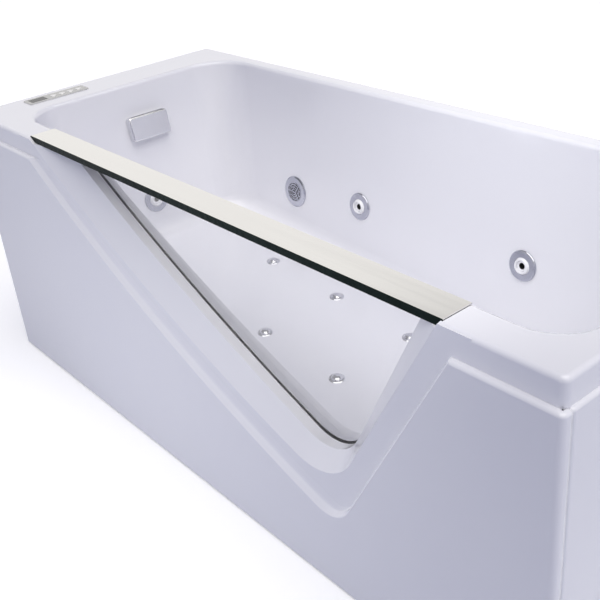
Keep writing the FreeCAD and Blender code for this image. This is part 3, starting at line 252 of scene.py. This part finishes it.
def makeFinish(name):
    # One principled shader fed by an effect group; even values sit on the shader's own sockets
    look = {**plainLook, **looks[name]}
    mat = bpy.data.materials.new(name)
    mat.use_nodes = True
    tree = mat.node_tree
    shader = tree.nodes["Principled BSDF"]
    shader.inputs["Metallic"].default_value = look["metal"]
    shader.inputs["IOR"].default_value = look["ior"]
    shader.inputs["Specular IOR Level"].default_value = look["shine"]
    shader.inputs["Coat Weight"].default_value = look["coat"]
    shader.inputs["Coat Roughness"].default_value = look["coatRough"]
    shader.inputs["Transmission Weight"].default_value = look["clear"]
    effect = addNode(tree, "ShaderNodeGroup", {"node_tree": effects[look["effect"]]},
                     {"Color": (*look["color"], 1), "Tone": (*look["tone"], 1), "Scale": look["scale"],
                      "Stretch": look["stretch"], "Fine": look["fine"],
                      "Low Rough": look["rough"][0], "High Rough": look["rough"][1]})
    link = tree.links.new
    link(effect.outputs["Color"], shader.inputs["Base Color"])
    link(effect.outputs["Roughness"], shader.inputs["Roughness"])
    if look["bump"]:
        bump = addNode(tree, "ShaderNodeBump", values={"Strength": look["bump"], "Distance": look["lift"]})
        link(effect.outputs["Height"], bump.inputs["Height"])
        link(bump.outputs["Normal"], shader.inputs["Normal"])
    return mat


finishes = {slot: makeFinish(slot) for slot in looks}
# The body behind the suction face takes the black finish as painted shade, so that the slots read dark
slotOf["suction_body"] = "black_plastic"
for name, obj in nodes.items():
    obj.data.materials.clear()
    obj.data.materials.append(finishes[slotOf[name]])
print("stage: finishes,", len(finishes))


# Stage: a pale floor, a soft overhead light with three fills, and the white surroundings
stage = {"floorHalf": 30.0, "floorColor": (0.95, 0.95, 0.96), "floorBounce": (0.31, 0.33, 0.45),
         "floorGlow": 0.2,
         "sunStrength": 2.22, "sunColor": (1.05, 1.02, 0.95), "sunAngle": 1.2, "sunFrom": (0.33, -0.10, 0.94),
         "lamps": [{"name": "leftFill", "power": 1.0, "size": 0.6, "spread": 0.7,
                    "place": (-1.7, -2.0, 0.3), "aim": (0.1, -0.36, 0.22)},
                   {"name": "rightFill", "power": 8.0, "size": 1.6, "spread": 3.14,
                    "place": (3.2, 0.3, 0.7), "aim": (0.85, 0.0, 0.35)},
                   {"name": "innerFill", "power": 1.1, "size": 0.7, "spread": 1.6,
                    "place": (0.35, -0.33, 1.08), "aim": (0.2, 0.31, 0.52)}],
         "skyColor": (0.70, 0.75, 1.1), "skyStrength": 0.27, "horizonColor": (0.95, 0.938, 0.918),
         "upperColor": (0.3, 0.3, 0.31), "turnLow": 0.485, "turnHigh": 0.56}


def addRays(tree, path, kinds):
    # 1 for any of the named kinds of ray
    either = path.outputs[kinds[0]]
    for kind in kinds[1:]:
        more = addNode(tree, "ShaderNodeMath", {"operation": "MAXIMUM"})
        tree.links.new(either, more.inputs[0])
        tree.links.new(path.outputs[kind], more.inputs[1])
        either = more.outputs[0]
    return either


def makeFloor():
    # White where it is seen, greyer in the light that it throws back
    half = stage["floorHalf"]
    corners = [(-half, -half, 0), (half, -half, 0), (half, half, 0), (-half, half, 0)]
    mesh = bpy.data.meshes.new("floor")
    mesh.from_pydata(corners, [], [(0, 1, 2, 3)])
    floor = addToScene("floor", mesh)
    mat = bpy.data.materials.new("paleFloor")
    mat.use_nodes = True
    tree = mat.node_tree
    tree.nodes.remove(tree.nodes["Principled BSDF"])
    seen = addNode(tree, "ShaderNodeBsdfDiffuse", values={"Color": (*stage["floorColor"], 1)})
    bounce = addNode(tree, "ShaderNodeBsdfDiffuse", values={"Color": (*stage["floorBounce"], 1)})
    glow = addNode(tree, "ShaderNodeEmission", values={"Strength": stage["floorGlow"]})
    pale = addNode(tree, "ShaderNodeAddShader")
    path = addNode(tree, "ShaderNodeLightPath")
    pick = addNode(tree, "ShaderNodeMixShader")
    shown = addRays(tree, path, ("Is Camera Ray", "Is Glossy Ray", "Is Transmission Ray"))
    link = tree.links.new
    link(seen.outputs[0], pale.inputs[0])
    link(glow.outputs[0], pale.inputs[1])
    link(shown, pick.inputs[0])
    link(bounce.outputs[0], pick.inputs[1])
    link(pale.outputs[0], pick.inputs[2])
    link(pick.outputs[0], tree.nodes["Material Output"].inputs["Surface"])
    mesh.materials.append(mat)


def turnFrom(direction):
    # The turn of a lamp that shines from this direction
    return Vector(direction).to_track_quat("Z", "Y").to_euler()


def makeLights():
    sun = bpy.data.lights.new("overhead", "SUN")
    sun.energy = stage["sunStrength"]
    sun.angle = stage["sunAngle"]
    sun.color = stage["sunColor"]
    addToScene("overhead", sun).rotation_euler = turnFrom(stage["sunFrom"])
    for row in stage["lamps"]:
        fill = bpy.data.lights.new(row["name"], "AREA")
        fill.energy = row["power"]
        fill.size = row["size"]
        fill.spread = row["spread"]
        lamp = addToScene(row["name"], fill)
        lamp.location = row["place"]
        lamp.rotation_euler = turnFrom(Vector(row["place"]) - Vector(row["aim"]))
        lamp.visible_camera = False
        lamp.visible_glossy = False


def makeSurroundings():
    # Seen directly the surroundings are white, and they light softly
    # Mirrored they are pale low down and dim above, with the turn between two heights of the direction
    world = bpy.data.worlds.new("surroundings")
    bpy.context.scene.world = world
    world.use_nodes = True
    tree = world.node_tree
    sky = tree.nodes["Background"]
    sky.inputs["Color"].default_value = (*stage["skyColor"], 1)
    sky.inputs["Strength"].default_value = stage["skyStrength"]
    white = addNode(tree, "ShaderNodeBackground", values={"Color": (1, 1, 1, 1)})
    mirrored = addNode(tree, "ShaderNodeBackground")
    coords = addNode(tree, "ShaderNodeTexCoord")
    parts = addNode(tree, "ShaderNodeSeparateXYZ")
    turn = addNode(tree, "ShaderNodeMapRange",
                   values={"From Min": stage["turnLow"], "From Max": stage["turnHigh"]})
    tint = addNode(tree, "ShaderNodeMix", {"data_type": "RGBA"})
    tint.inputs["A"].default_value = (*stage["horizonColor"], 1)
    tint.inputs["B"].default_value = (*stage["upperColor"], 1)
    path = addNode(tree, "ShaderNodeLightPath")
    first = addNode(tree, "ShaderNodeMixShader")
    second = addNode(tree, "ShaderNodeMixShader")
    link = tree.links.new
    link(coords.outputs["Generated"], parts.inputs[0])
    link(parts.outputs["Z"], turn.inputs["Value"])
    link(turn.outputs["Result"], tint.inputs["Factor"])
    link(tint.outputs["Result"], mirrored.inputs["Color"])
    link(addRays(tree, path, ("Is Glossy Ray", "Is Transmission Ray")), first.inputs[0])
    link(sky.outputs[0], first.inputs[1])
    link(mirrored.outputs[0], first.inputs[2])
    link(path.outputs["Is Camera Ray"], second.inputs[0])
    link(first.outputs[0], second.inputs[1])
    link(white.outputs[0], second.inputs[2])
    link(second.outputs[0], tree.nodes["World Output"].inputs["Surface"])


makeFloor()
makeLights()
makeSurroundings()
print("stage: floor, light and surroundings")


# Helpers for surfaces worked out as whole arrays
def addObject(name, mesh, mats, body):
    for mat in mats:
        mesh.materials.append(mat)
    obj = addToScene(name, mesh)
    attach(obj, body)
    return obj


def gridFaces(rows, cols, closeRows=False, closeCols=False):
    # Quads between neighbouring rows and columns of a grid of points, wrapped round where it closes
    i = np.arange(rows if closeRows else rows - 1)[:, None]
    j = np.arange(cols if closeCols else cols - 1)[None, :]
    down, over = (i + 1) % rows, (j + 1) % cols
    return np.stack([i * cols + j, i * cols + over, down * cols + over, down * cols + j], -1).reshape(-1, 4)


def meshFrom(name, points, faces):
    mesh = bpy.data.meshes.new(name)
    mesh.from_pydata(points.reshape(-1, 3).tolist(), [], [list(face) for face in faces])
    mesh.polygons.foreach_set("use_smooth", np.full(len(mesh.polygons), True))
    mesh.update()
    return mesh


def markFaces(mesh, second):
    # The marked faces take the mesh's second finish
    mesh.polygons.foreach_set("material_index", second.astype(np.int32))


def flatFaces(obj, sharpAngle=0.7):
    # Large faces keep their own normals, so that only the small faces at an edge shade round
    obj.data.set_sharp_from_angle(angle=sharpAngle)
    weigh = obj.modifiers.new("normals", "WEIGHTED_NORMAL")
    weigh.weight = 100
    weigh.keep_sharp = True


def addSheet(obj, thickness):
    thick = obj.modifiers.new("sheet", "SOLIDIFY")
    thick.thickness = thickness
    thick.offset = -1
    return thick


def easeStep(low, high, value):
    # 0 below low and 1 above high, with a smooth cubic between
    t = np.clip((value - low) / (high - low), 0, 1)
    return t * t * (3 - 2 * t)


def edgeRounds(edge, top):
    # A slanted window edge: its long arc's centre and radius, its corner round's centre, its right side's way
    left = np.array((edge["left"], top))
    low = np.array((edge["lowX"], edge["lowZ"]))
    right = np.array((edge["right"], top))
    chord = low - left
    half = np.linalg.norm(chord) / 2
    rise = np.array((-chord[1], chord[0])) / (2 * half)
    big = (half ** 2 + edge["bow"] ** 2) / (2 * edge["bow"])
    centre = (left + low) / 2 + rise * (big - edge["bow"])
    side = (right - low) / np.linalg.norm(right - low)
    start = low + np.array((-side[1], side[0])) * edge["round"] - centre
    run = start @ side
    reach = np.sqrt(run ** 2 - start @ start + (big - edge["round"]) ** 2)
    shift = min(-run - reach, -run + reach, key=abs)
    return centre, big, centre + start + side * shift, side


def edgeHeight(edge, top, x):
    # Height over x: the long arc down to the corner round, the round, then the straight right side
    centre, big, corner, side = edgeRounds(edge, top)
    small = edge["round"]
    meet = centre + (corner - centre) / np.linalg.norm(corner - centre) * big
    touch = corner + np.array((side[1], -side[0])) * small
    arc = centre[1] - np.sqrt(np.maximum(big ** 2 - (x - centre[0]) ** 2, 0))
    turn = corner[1] - np.sqrt(np.maximum(small ** 2 - (x - corner[0]) ** 2, 0))
    line = touch[1] + (x - touch[0]) * side[1] / side[0]
    return np.where(x < meet[0], arc, np.where(x < touch[0], turn, line))


def ringAround(axis, side, columns):
    # Unit spokes about an axis: side times the cosine of the turn and its cross with the axis times the sine
    angle = np.linspace(0, 2 * np.pi, columns, endpoint=False)
    over = np.cross(axis, side)
    return angle, side[None, :] * np.cos(angle)[:, None] + over[None, :] * np.sin(angle)[:, None]


def turnedPart(profile, columns, centre, axis, side):
    # A closed section of (radius, height) points turned about an axis
    axis = np.array(axis, float) / np.linalg.norm(axis)
    side = np.array(side, float) - axis * np.dot(side, axis)
    _, ring = ringAround(axis, side / np.linalg.norm(side), columns)
    section = np.array(profile, float)
    points = np.array(centre) + ring[None] * section[:, None, None, 0] + axis * section[:, None, None, 1]
    return points.reshape(-1, 3), gridFaces(len(section), columns, closeRows=True, closeCols=True)


def slabPart(half, centre, axes, cut):
    # A block with its edges cut off: rings of an eight-sided section on its third axis, smaller at both ends
    a, b, c = half
    plan = np.array([(a - cut, b), (-a + cut, b), (-a, b - cut), (-a, -b + cut),
                     (-a + cut, -b), (a - cut, -b), (a, -b + cut), (a, b - cut)])
    shrink = np.array([(a - cut) / a, 1, 1, (a - cut) / a])
    level = np.array([-c, -c + cut, c - cut, c])
    flat = plan[None] * shrink[:, None, None]
    local = np.concatenate([flat, np.broadcast_to(level[:, None, None], flat.shape[:2] + (1,))], -1)
    points = np.array(centre) + local.reshape(-1, 3) @ np.array(axes, float)
    sides = len(plan)
    faces = gridFaces(len(level), sides, closeCols=True).tolist()
    lastRing = list(range(len(points) - 1, len(points) - 1 - sides, -1))
    return points, faces + [list(range(sides)), lastRing]


def joinParts(parts):
    # Several point and face lists as one, with the face numbers moved on
    starts = np.cumsum([0] + [len(points) for points, _ in parts[:-1]])
    faces = [[int(index) + int(start) for index in face]
             for start, (_, rows) in zip(starts, parts) for face in rows]
    return np.concatenate([points for points, _ in parts]), faces


def outward(mesh, mergeGap=1e-7):
    # Points at one place become one, and the faces turn outward
    work = bmesh.new()
    work.from_mesh(mesh)
    bmesh.ops.remove_doubles(work, verts=work.verts, dist=mergeGap)
    bmesh.ops.recalc_face_normals(work, faces=work.faces)
    work.to_mesh(mesh)
    work.free()


def copyOf(node, name, mergeGap=1e-6):
    # A node's mesh, merged, with its own corner normals kept; also its faces' centres and normals
    source = nodes[node].data
    corners = np.empty(len(source.loops) * 3)
    source.corner_normals.foreach_get("vector", corners)
    work = bmesh.new()
    work.from_mesh(source)
    bmesh.ops.remove_doubles(work, verts=work.verts, dist=mergeGap)
    mesh = bpy.data.meshes.new(name)
    work.to_mesh(mesh)
    work.free()
    mesh.polygons.foreach_set("use_smooth", np.full(len(mesh.polygons), True))
    mesh.normals_split_custom_set(corners.reshape(-1, 3))
    centres = np.empty(len(mesh.polygons) * 3)
    normals = np.empty(len(mesh.polygons) * 3)
    mesh.polygons.foreach_get("center", centres)
    mesh.polygons.foreach_get("normal", normals)
    return mesh, centres.reshape(-1, 3), normals.reshape(-1, 3)


def jointRow(name):
    return next(row for row in frame["joints"] if row["name"] == name)


# Front panel: one formed skin with a soft bevel along the notch, a rounded ledge and rounded corners
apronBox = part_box("front_apron")
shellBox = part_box("tub_shell")
apron = {"notch": {"left": -0.550, "right": 0.672, "lowX": 0.421, "lowZ": 0.150, "bow": 0.0408,
                   "round": 0.070},
         "foot": {"left": -0.499, "right": 0.669, "lowX": 0.433, "lowZ": 0.1825, "bow": 0.0362,
                  "round": 0.045},
         "corner": 0.010, "cornerSteps": 9, "returnRows": 3, "ledgeRound": 0.006, "sheet": 0.004,
         "profileSteps": 26, "columns": 200, "decimals": 3,
         "endSpan": 0.016, "endSteps": 33, "lowSpan": 0.09, "lowSteps": 60,
         "steepShare": 0.40, "steep": 2.1, "shallow": 0.15, "steepStart": 0.05, "riseSteps": 200,
         "bendBefore": 0.08, "bendAfter": 0.12, "sideBefore": 0.02, "sideAfter": 0.05,
         "rightRound": 0.012, "tuck": 0.002, "edgeRow": 0.004}


def apronPlan():
    # Plan path and its outward normals: the left return, a corner, the front, a corner and the right return
    (x0, y0, _), (x1, y1, _) = apronBox
    corner = apron["corner"]
    turn = np.linspace(0, np.pi / 2, apron["cornerSteps"])[1:-1]
    # The front's columns stand closer where an edge starts or ends and along the notch's low corner
    ends = np.array([apron[edge][key] for edge in ("notch", "foot") for key in ("left", "right")])
    nearEnds = np.linspace(-apron["endSpan"], apron["endSpan"], apron["endSteps"])
    nearLow = np.linspace(-apron["lowSpan"], apron["lowSpan"], apron["lowSteps"])
    inner = np.concatenate([np.linspace(x0 + 2 * corner, x1 - 2 * corner, apron["columns"]),
                            (ends[:, None] + nearEnds[None, :]).ravel(), apron["notch"]["lowX"] + nearLow])
    inner = np.unique(np.round(inner, apron["decimals"]))
    front = np.concatenate([[x0 + corner], inner, [x1 - corner]])
    back = np.linspace(y1, y0 + corner, apron["returnRows"])
    still = np.zeros(len(back))
    planX = np.concatenate([still + x0, x0 + corner - corner * np.cos(turn), front,
                            x1 - corner + corner * np.sin(turn), still + x1])
    planY = np.concatenate([back, y0 + corner - corner * np.sin(turn), np.full(len(front), y0),
                            y0 + corner - corner * np.cos(turn), back[::-1]])
    normX = np.concatenate([still - 1, -np.cos(turn), np.zeros(len(front)), np.sin(turn), still + 1])
    normY = np.concatenate([still, -np.sin(turn), np.full(len(front), -1.0), -np.cos(turn), still])
    return planX, planY, normX, normY


def apronBevel(planX, top, t):
    # Height of the bevel at a share t of the ledge's depth
    # On the left it is steep below the face edge and shallow towards the foot: its depth is the running sum
    # of the slope; on the right it is a step with a rounded edge, an ellipse in section
    rise = np.linspace(0, 1, apron["riseSteps"])
    bend = easeStep(apron["steepShare"] - apron["bendBefore"], apron["steepShare"] + apron["bendAfter"], rise)
    slope = apron["steep"] * easeStep(0, apron["steepStart"], rise) * (1 - bend) + apron["shallow"] * bend
    share = np.concatenate([[0], np.cumsum((slope[1:] + slope[:-1]) / 2)])
    leftRise = np.interp(t, share / share[-1], rise)
    rightRise = np.sqrt(1 - (1 - t) ** 2)
    lowX = apron["notch"]["lowX"]
    rightSide = easeStep(lowX - apron["sideBefore"], lowX + apron["sideAfter"], planX)[:, None]
    edgeZ = edgeHeight(apron["notch"], top, planX)[:, None]
    footZ = edgeHeight(apron["foot"], top, planX)[:, None]
    edgeZ = edgeZ - np.maximum(apron["rightRound"] - (footZ - edgeZ), 0) * rightSide
    return edgeZ + (footZ - edgeZ) * (leftRise[None, :] * (1 - rightSide) + rightRise[None, :] * rightSide)


def makeApron():
    (_, y0, z0), (x1, _, top) = apronBox
    planX, planY, normX, normY = apronPlan()
    # Each column runs in from the face by a share t of the ledge's depth, closely spaced at the face
    t = 1 - np.cos(np.linspace(0, np.pi / 2, apron["profileSteps"]))
    depth = (shellBox[0][1] - y0) * normY ** 2 + (x1 - shellBox[1][0]) * normX ** 2
    inset = depth[:, None] * t[None, :]
    # The ledge is a quarter round, then level; the front follows whichever of ledge and bevel is lower
    curve = apron["ledgeRound"]
    ledge = top - curve + np.sqrt(curve ** 2 - np.maximum(curve - inset, 0) ** 2)
    height = np.where((normX == 0)[:, None], np.minimum(ledge, apronBevel(planX, top, t)), ledge)
    # Three rows below carry the face, and the last row tucks in behind the lip
    edge = height[:, :1]
    flat = 0 * edge
    inset = np.concatenate([flat, flat, flat, inset, inset[:, -1:] + apron["tuck"]], 1)
    height = np.concatenate([flat + z0, (edge + z0) / 2, edge - apron["edgeRow"], height, height[:, -1:]], 1)
    points = np.stack([planX[:, None] - normX[:, None] * inset,
                       planY[:, None] - normY[:, None] * inset, height], -1)
    mesh = meshFrom("frontApron", points, gridFaces(*points.shape[:2])[:, ::-1])
    obj = addObject("frontApron", mesh, [finishes["acrylic_white"]], "tub")
    addSheet(obj, apron["sheet"])
    flatFaces(obj)
    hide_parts("front_apron")


makeApron()
print("stage: front panel")


# Suction face: a shallow dome with four rings of slots, with painted shade on its back and slot walls
suction = {"x": -0.409, "z": 0.345, "radius": 0.0257, "rise": 0.0070, "drop": 0.0020, "foot": 0.0026,
           "rings": 4, "hub": 0.0012, "first": 0.0030, "pitch": 0.0058, "slot": 0.0030, "arc": 0.0130,
           "open": 0.80, "stagger": 0.5, "columns": 240, "sheet": 0.0016}


def makeSuctionFace():
    wall = jointRow("back_jet_left_turn")
    axis = np.array(wall["axis"])
    near = np.array(wall["pos_m"])
    # The seat lies in the same wall as the jets, at its own x and z
    drop = (suction["z"] - near[2]) * axis[2] / axis[1]
    centre = np.array((suction["x"], near[1] - drop, suction["z"]))
    # The dome's height falls with the square of the radius, and its last ring is a skirt down to the seat
    inner = suction["first"] + suction["pitch"] * np.arange(suction["rings"])
    edges = np.stack([inner, inner + suction["slot"]], -1).ravel()
    radius = np.concatenate([[suction["hub"]], edges, [suction["radius"], suction["radius"]]])
    height = suction["rise"] - suction["drop"] * (radius / suction["radius"]) ** 2
    height[-1] = suction["foot"]
    angle, ring = ringAround(axis, np.array((1.0, 0.0, 0.0)), suction["columns"])
    points = centre + ring[None] * radius[:, None, None] + axis * height[:, None, None]
    faces = gridFaces(len(radius), len(angle), closeCols=True)[:, ::-1]
    # A face is open where the turn within its slot, shifted on every other ring, is under the open share
    row, col = np.divmod(np.arange(len(faces)), len(angle))
    count = np.round(2 * np.pi * (inner + suction["slot"] / 2) / suction["arc"])
    which = np.clip((row - 1) // 2, 0, suction["rings"] - 1)
    phase = (angle[col] * count[which] / (2 * np.pi) + suction["stagger"] * (which % 2)) % 1
    slotted = (row % 2 == 1) & (row < len(radius) - 2) & (phase < suction["open"])
    # A fan of triangles closes the hub
    around = np.arange(len(angle))
    fan = np.stack([np.full(len(angle), points.size // 3), around, (around + 1) % len(angle)], -1)
    points = np.concatenate([points.reshape(-1, 3), [centre + axis * suction["rise"]]])
    mesh = meshFrom("suctionFace", points, faces[~slotted].tolist() + fan.tolist())
    obj = addObject("suctionFace", mesh, [finishes["satin_chrome"], finishes["black_plastic"]], "tub")
    thick = addSheet(obj, suction["sheet"])
    # The back and the slot walls take the black finish as painted shade
    thick.material_offset = 1
    thick.material_offset_rim = 1
    flatFaces(obj)
    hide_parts("suction_grille")


makeSuctionFace()
print("stage: suction face")


# Basin shell: the same form with a laid fibre finish on the faces that turn away from the basin
shell = {"middle": (0.03, 0.019, 0.45), "halfRun": 0.5, "lipLow": 0.584, "frontLine": -0.286,
         "windowLine": -0.15}


def makeShell():
    mesh, centres, normals = copyOf("tub_shell", "basinShell")
    # A face turns away where its normal points the same way as the line to it from the basin's long middle
    line = centres - np.array(shell["middle"])
    line[:, 0] -= np.clip(line[:, 0], -shell["halfRun"], shell["halfRun"])
    away = (line * normals).sum(1) > 0
    # The window's own surround stays white
    surround = centres[:, 2] > edgeHeight(apron["foot"], apronBox[1][2], centres[:, 0])
    surround &= centres[:, 1] < shell["windowLine"]
    behind = (centres[:, 2] < shell["lipLow"]) & (centres[:, 1] > shell["frontLine"])
    markFaces(mesh, away & behind & ~surround)
    obj = addObject("basinShell", mesh, [finishes["acrylic_white"], finishes["laid_fibre"]], "tub")
    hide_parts("tub_shell")


makeShell()
print("stage: basin shell")


# Jets: the same balls and barrels with painted shade in the throat, and an eye ring set in each ball's cup
jets = {"names": {"backJetLeft": "back_jet_left", "backJetRight": "back_jet_right", "footJet": "foot_jet"},
        "hole": 0.0076, "floor": 0.020, "lean": 0.3, "facing": 0.5, "columns": 48,
        "eye": [(0.0068, -0.0016), (0.0079, -0.0016), (0.0098, 0.0010), (0.0107, 0.0046),
                (0.0102, 0.0049), (0.0075, 0.0041), (0.0068, 0.0034)]}


def throatParts(node, name, seat, axis):
    # A copy of a node, with its faces' distance from the jet's axis and how they lean to it and along it
    mesh, centres, normals = copyOf(node, name)
    offset = centres - seat
    radial = offset - (offset @ axis)[:, None] * axis
    return mesh, np.linalg.norm(radial, axis=1), (radial * normals).sum(1), normals @ axis


def makeJets():
    white, paintedShade = finishes["pearl_white"], finishes["black_plastic"]
    for name, node in jets["names"].items():
        row = jointRow(node + "_turn")
        axis, seat = np.array(row["axis"]), np.array(row["pos_m"])
        mesh, reach, _, _ = throatParts(node + "_nozzle", name + "Ball", seat, axis)
        # The ball's faces near its axis, in the bore, take the black finish as painted shade
        markFaces(mesh, reach < jets["hole"])
        ball = addObject(name + "Ball", mesh, [white, paintedShade], node + "_nozzle")
        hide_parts(node + "_nozzle")
        # The eye's last row of faces is the wall of its hole, which takes the black finish as painted shade
        points, faces = turnedPart(jets["eye"], jets["columns"], seat, axis, (axis[2], axis[0], axis[1]))
        mesh = meshFrom(name + "Eye", points, faces)
        markFaces(mesh, np.arange(len(faces)) >= len(faces) - jets["columns"])
        outward(mesh)
        eye = addObject(name + "Eye", mesh, [white, paintedShade], node + "_nozzle")
        flatFaces(eye)
        # A barrel's inside leans to its axis, and its floor looks out along the axis; both take the black finish
        # as painted shade
        mesh, reach, lean, facing = throatParts(node + "_body", name + "Barrel", seat, axis)
        onFloor = (reach < jets["floor"]) & (facing > jets["facing"])
        markFaces(mesh, (lean < -jets["lean"] * reach) | onFloor)
        barrel = addObject(name + "Barrel", mesh, [finishes["pvc_white"], paintedShade], "tub")
        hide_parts(node + "_body")


makeJets()
print("stage: jets")


# Fastenings behind the panels: band clamps with screw blocks on the pipe ends, and screws in the box lid
clamps = {"rows": [{"place": (0.604, 0.235, 0.134), "axis": (1, 0, 0), "up": (0, 0.5, 0.87), "pipe": 0.019},
                   {"place": (0.665, 0.235, 0.219), "axis": (0, 0, 1), "up": (0, 1, 0), "pipe": 0.016},
                   {"place": (0.630, -0.060, 0.103), "axis": (1, 0, 0), "up": (0, 0, 1), "pipe": 0.011}],
          "band": 0.0014, "half": 0.0045, "edge": 0.0004, "gap": 0.0003, "columns": 48,
          "block": (0.004275, 0.0040, 0.0060), "blockCut": 0.0010, "blockLift": 0.0036,
          "screwOut": 0.0062, "screwSides": 6,
          "screw": [(0, 0), (0.0034, 0), (0.0038, 0.0006), (0.0038, 0.0030), (0.0032, 0.0036),
                    (0.0012, 0.0036), (0.0010, 0.0026), (0, 0.0026)]}
screws = {"inset": 0.009, "lift": 0.0001, "columns": 24,
          "head": [(0, 0), (0.0036, 0), (0.0036, 0.00099), (0.00288, 0.00198), (0.001875, 0.0022),
                   (0.0015, 0.0019), (0.00135, 0.0010), (0, 0.0010)]}


def addFastenings(name, parts):
    mesh = meshFrom(name, *joinParts(parts))
    outward(mesh)
    flatFaces(addObject(name, mesh, [finishes["bright_steel"]], "tub"))


def makeClamps():
    parts = []
    half, edge = clamps["half"], clamps["edge"]
    for row in clamps["rows"]:
        inner = row["pipe"] + clamps["gap"]
        outer = inner + clamps["band"]
        section = [(inner, -half), (outer - edge, -half), (outer, -half + edge), (outer, half - edge),
                   (outer - edge, half), (inner, half)]
        parts.append(turnedPart(section, clamps["columns"], row["place"], row["axis"], row["up"]))
        axis = np.array(row["axis"], float)
        up = np.array(row["up"], float) / np.linalg.norm(row["up"])
        along = np.cross(axis, up)
        seat = np.array(row["place"]) + up * (outer + clamps["blockLift"])
        parts.append(slabPart(clamps["block"], seat, (axis, up, along), clamps["blockCut"]))
        tip = seat + along * clamps["screwOut"]
        parts.append(turnedPart(clamps["screw"], clamps["screwSides"], tip, along, up))
    addFastenings("pipeClamps", parts)


def makeScrews():
    (x0, y0, _), (x1, y1, top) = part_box("control_box")
    inset, seat = screws["inset"], top + screws["lift"]
    parts = [turnedPart(screws["head"], screws["columns"], (x, y, seat), (0, 0, 1), (1, 0, 0))
             for x in (x0 + inset, x1 - inset) for y in (y0 + inset, y1 - inset)]
    addFastenings("lidScrews", parts)


makeClamps()
makeScrews()
print("stage: fastenings")
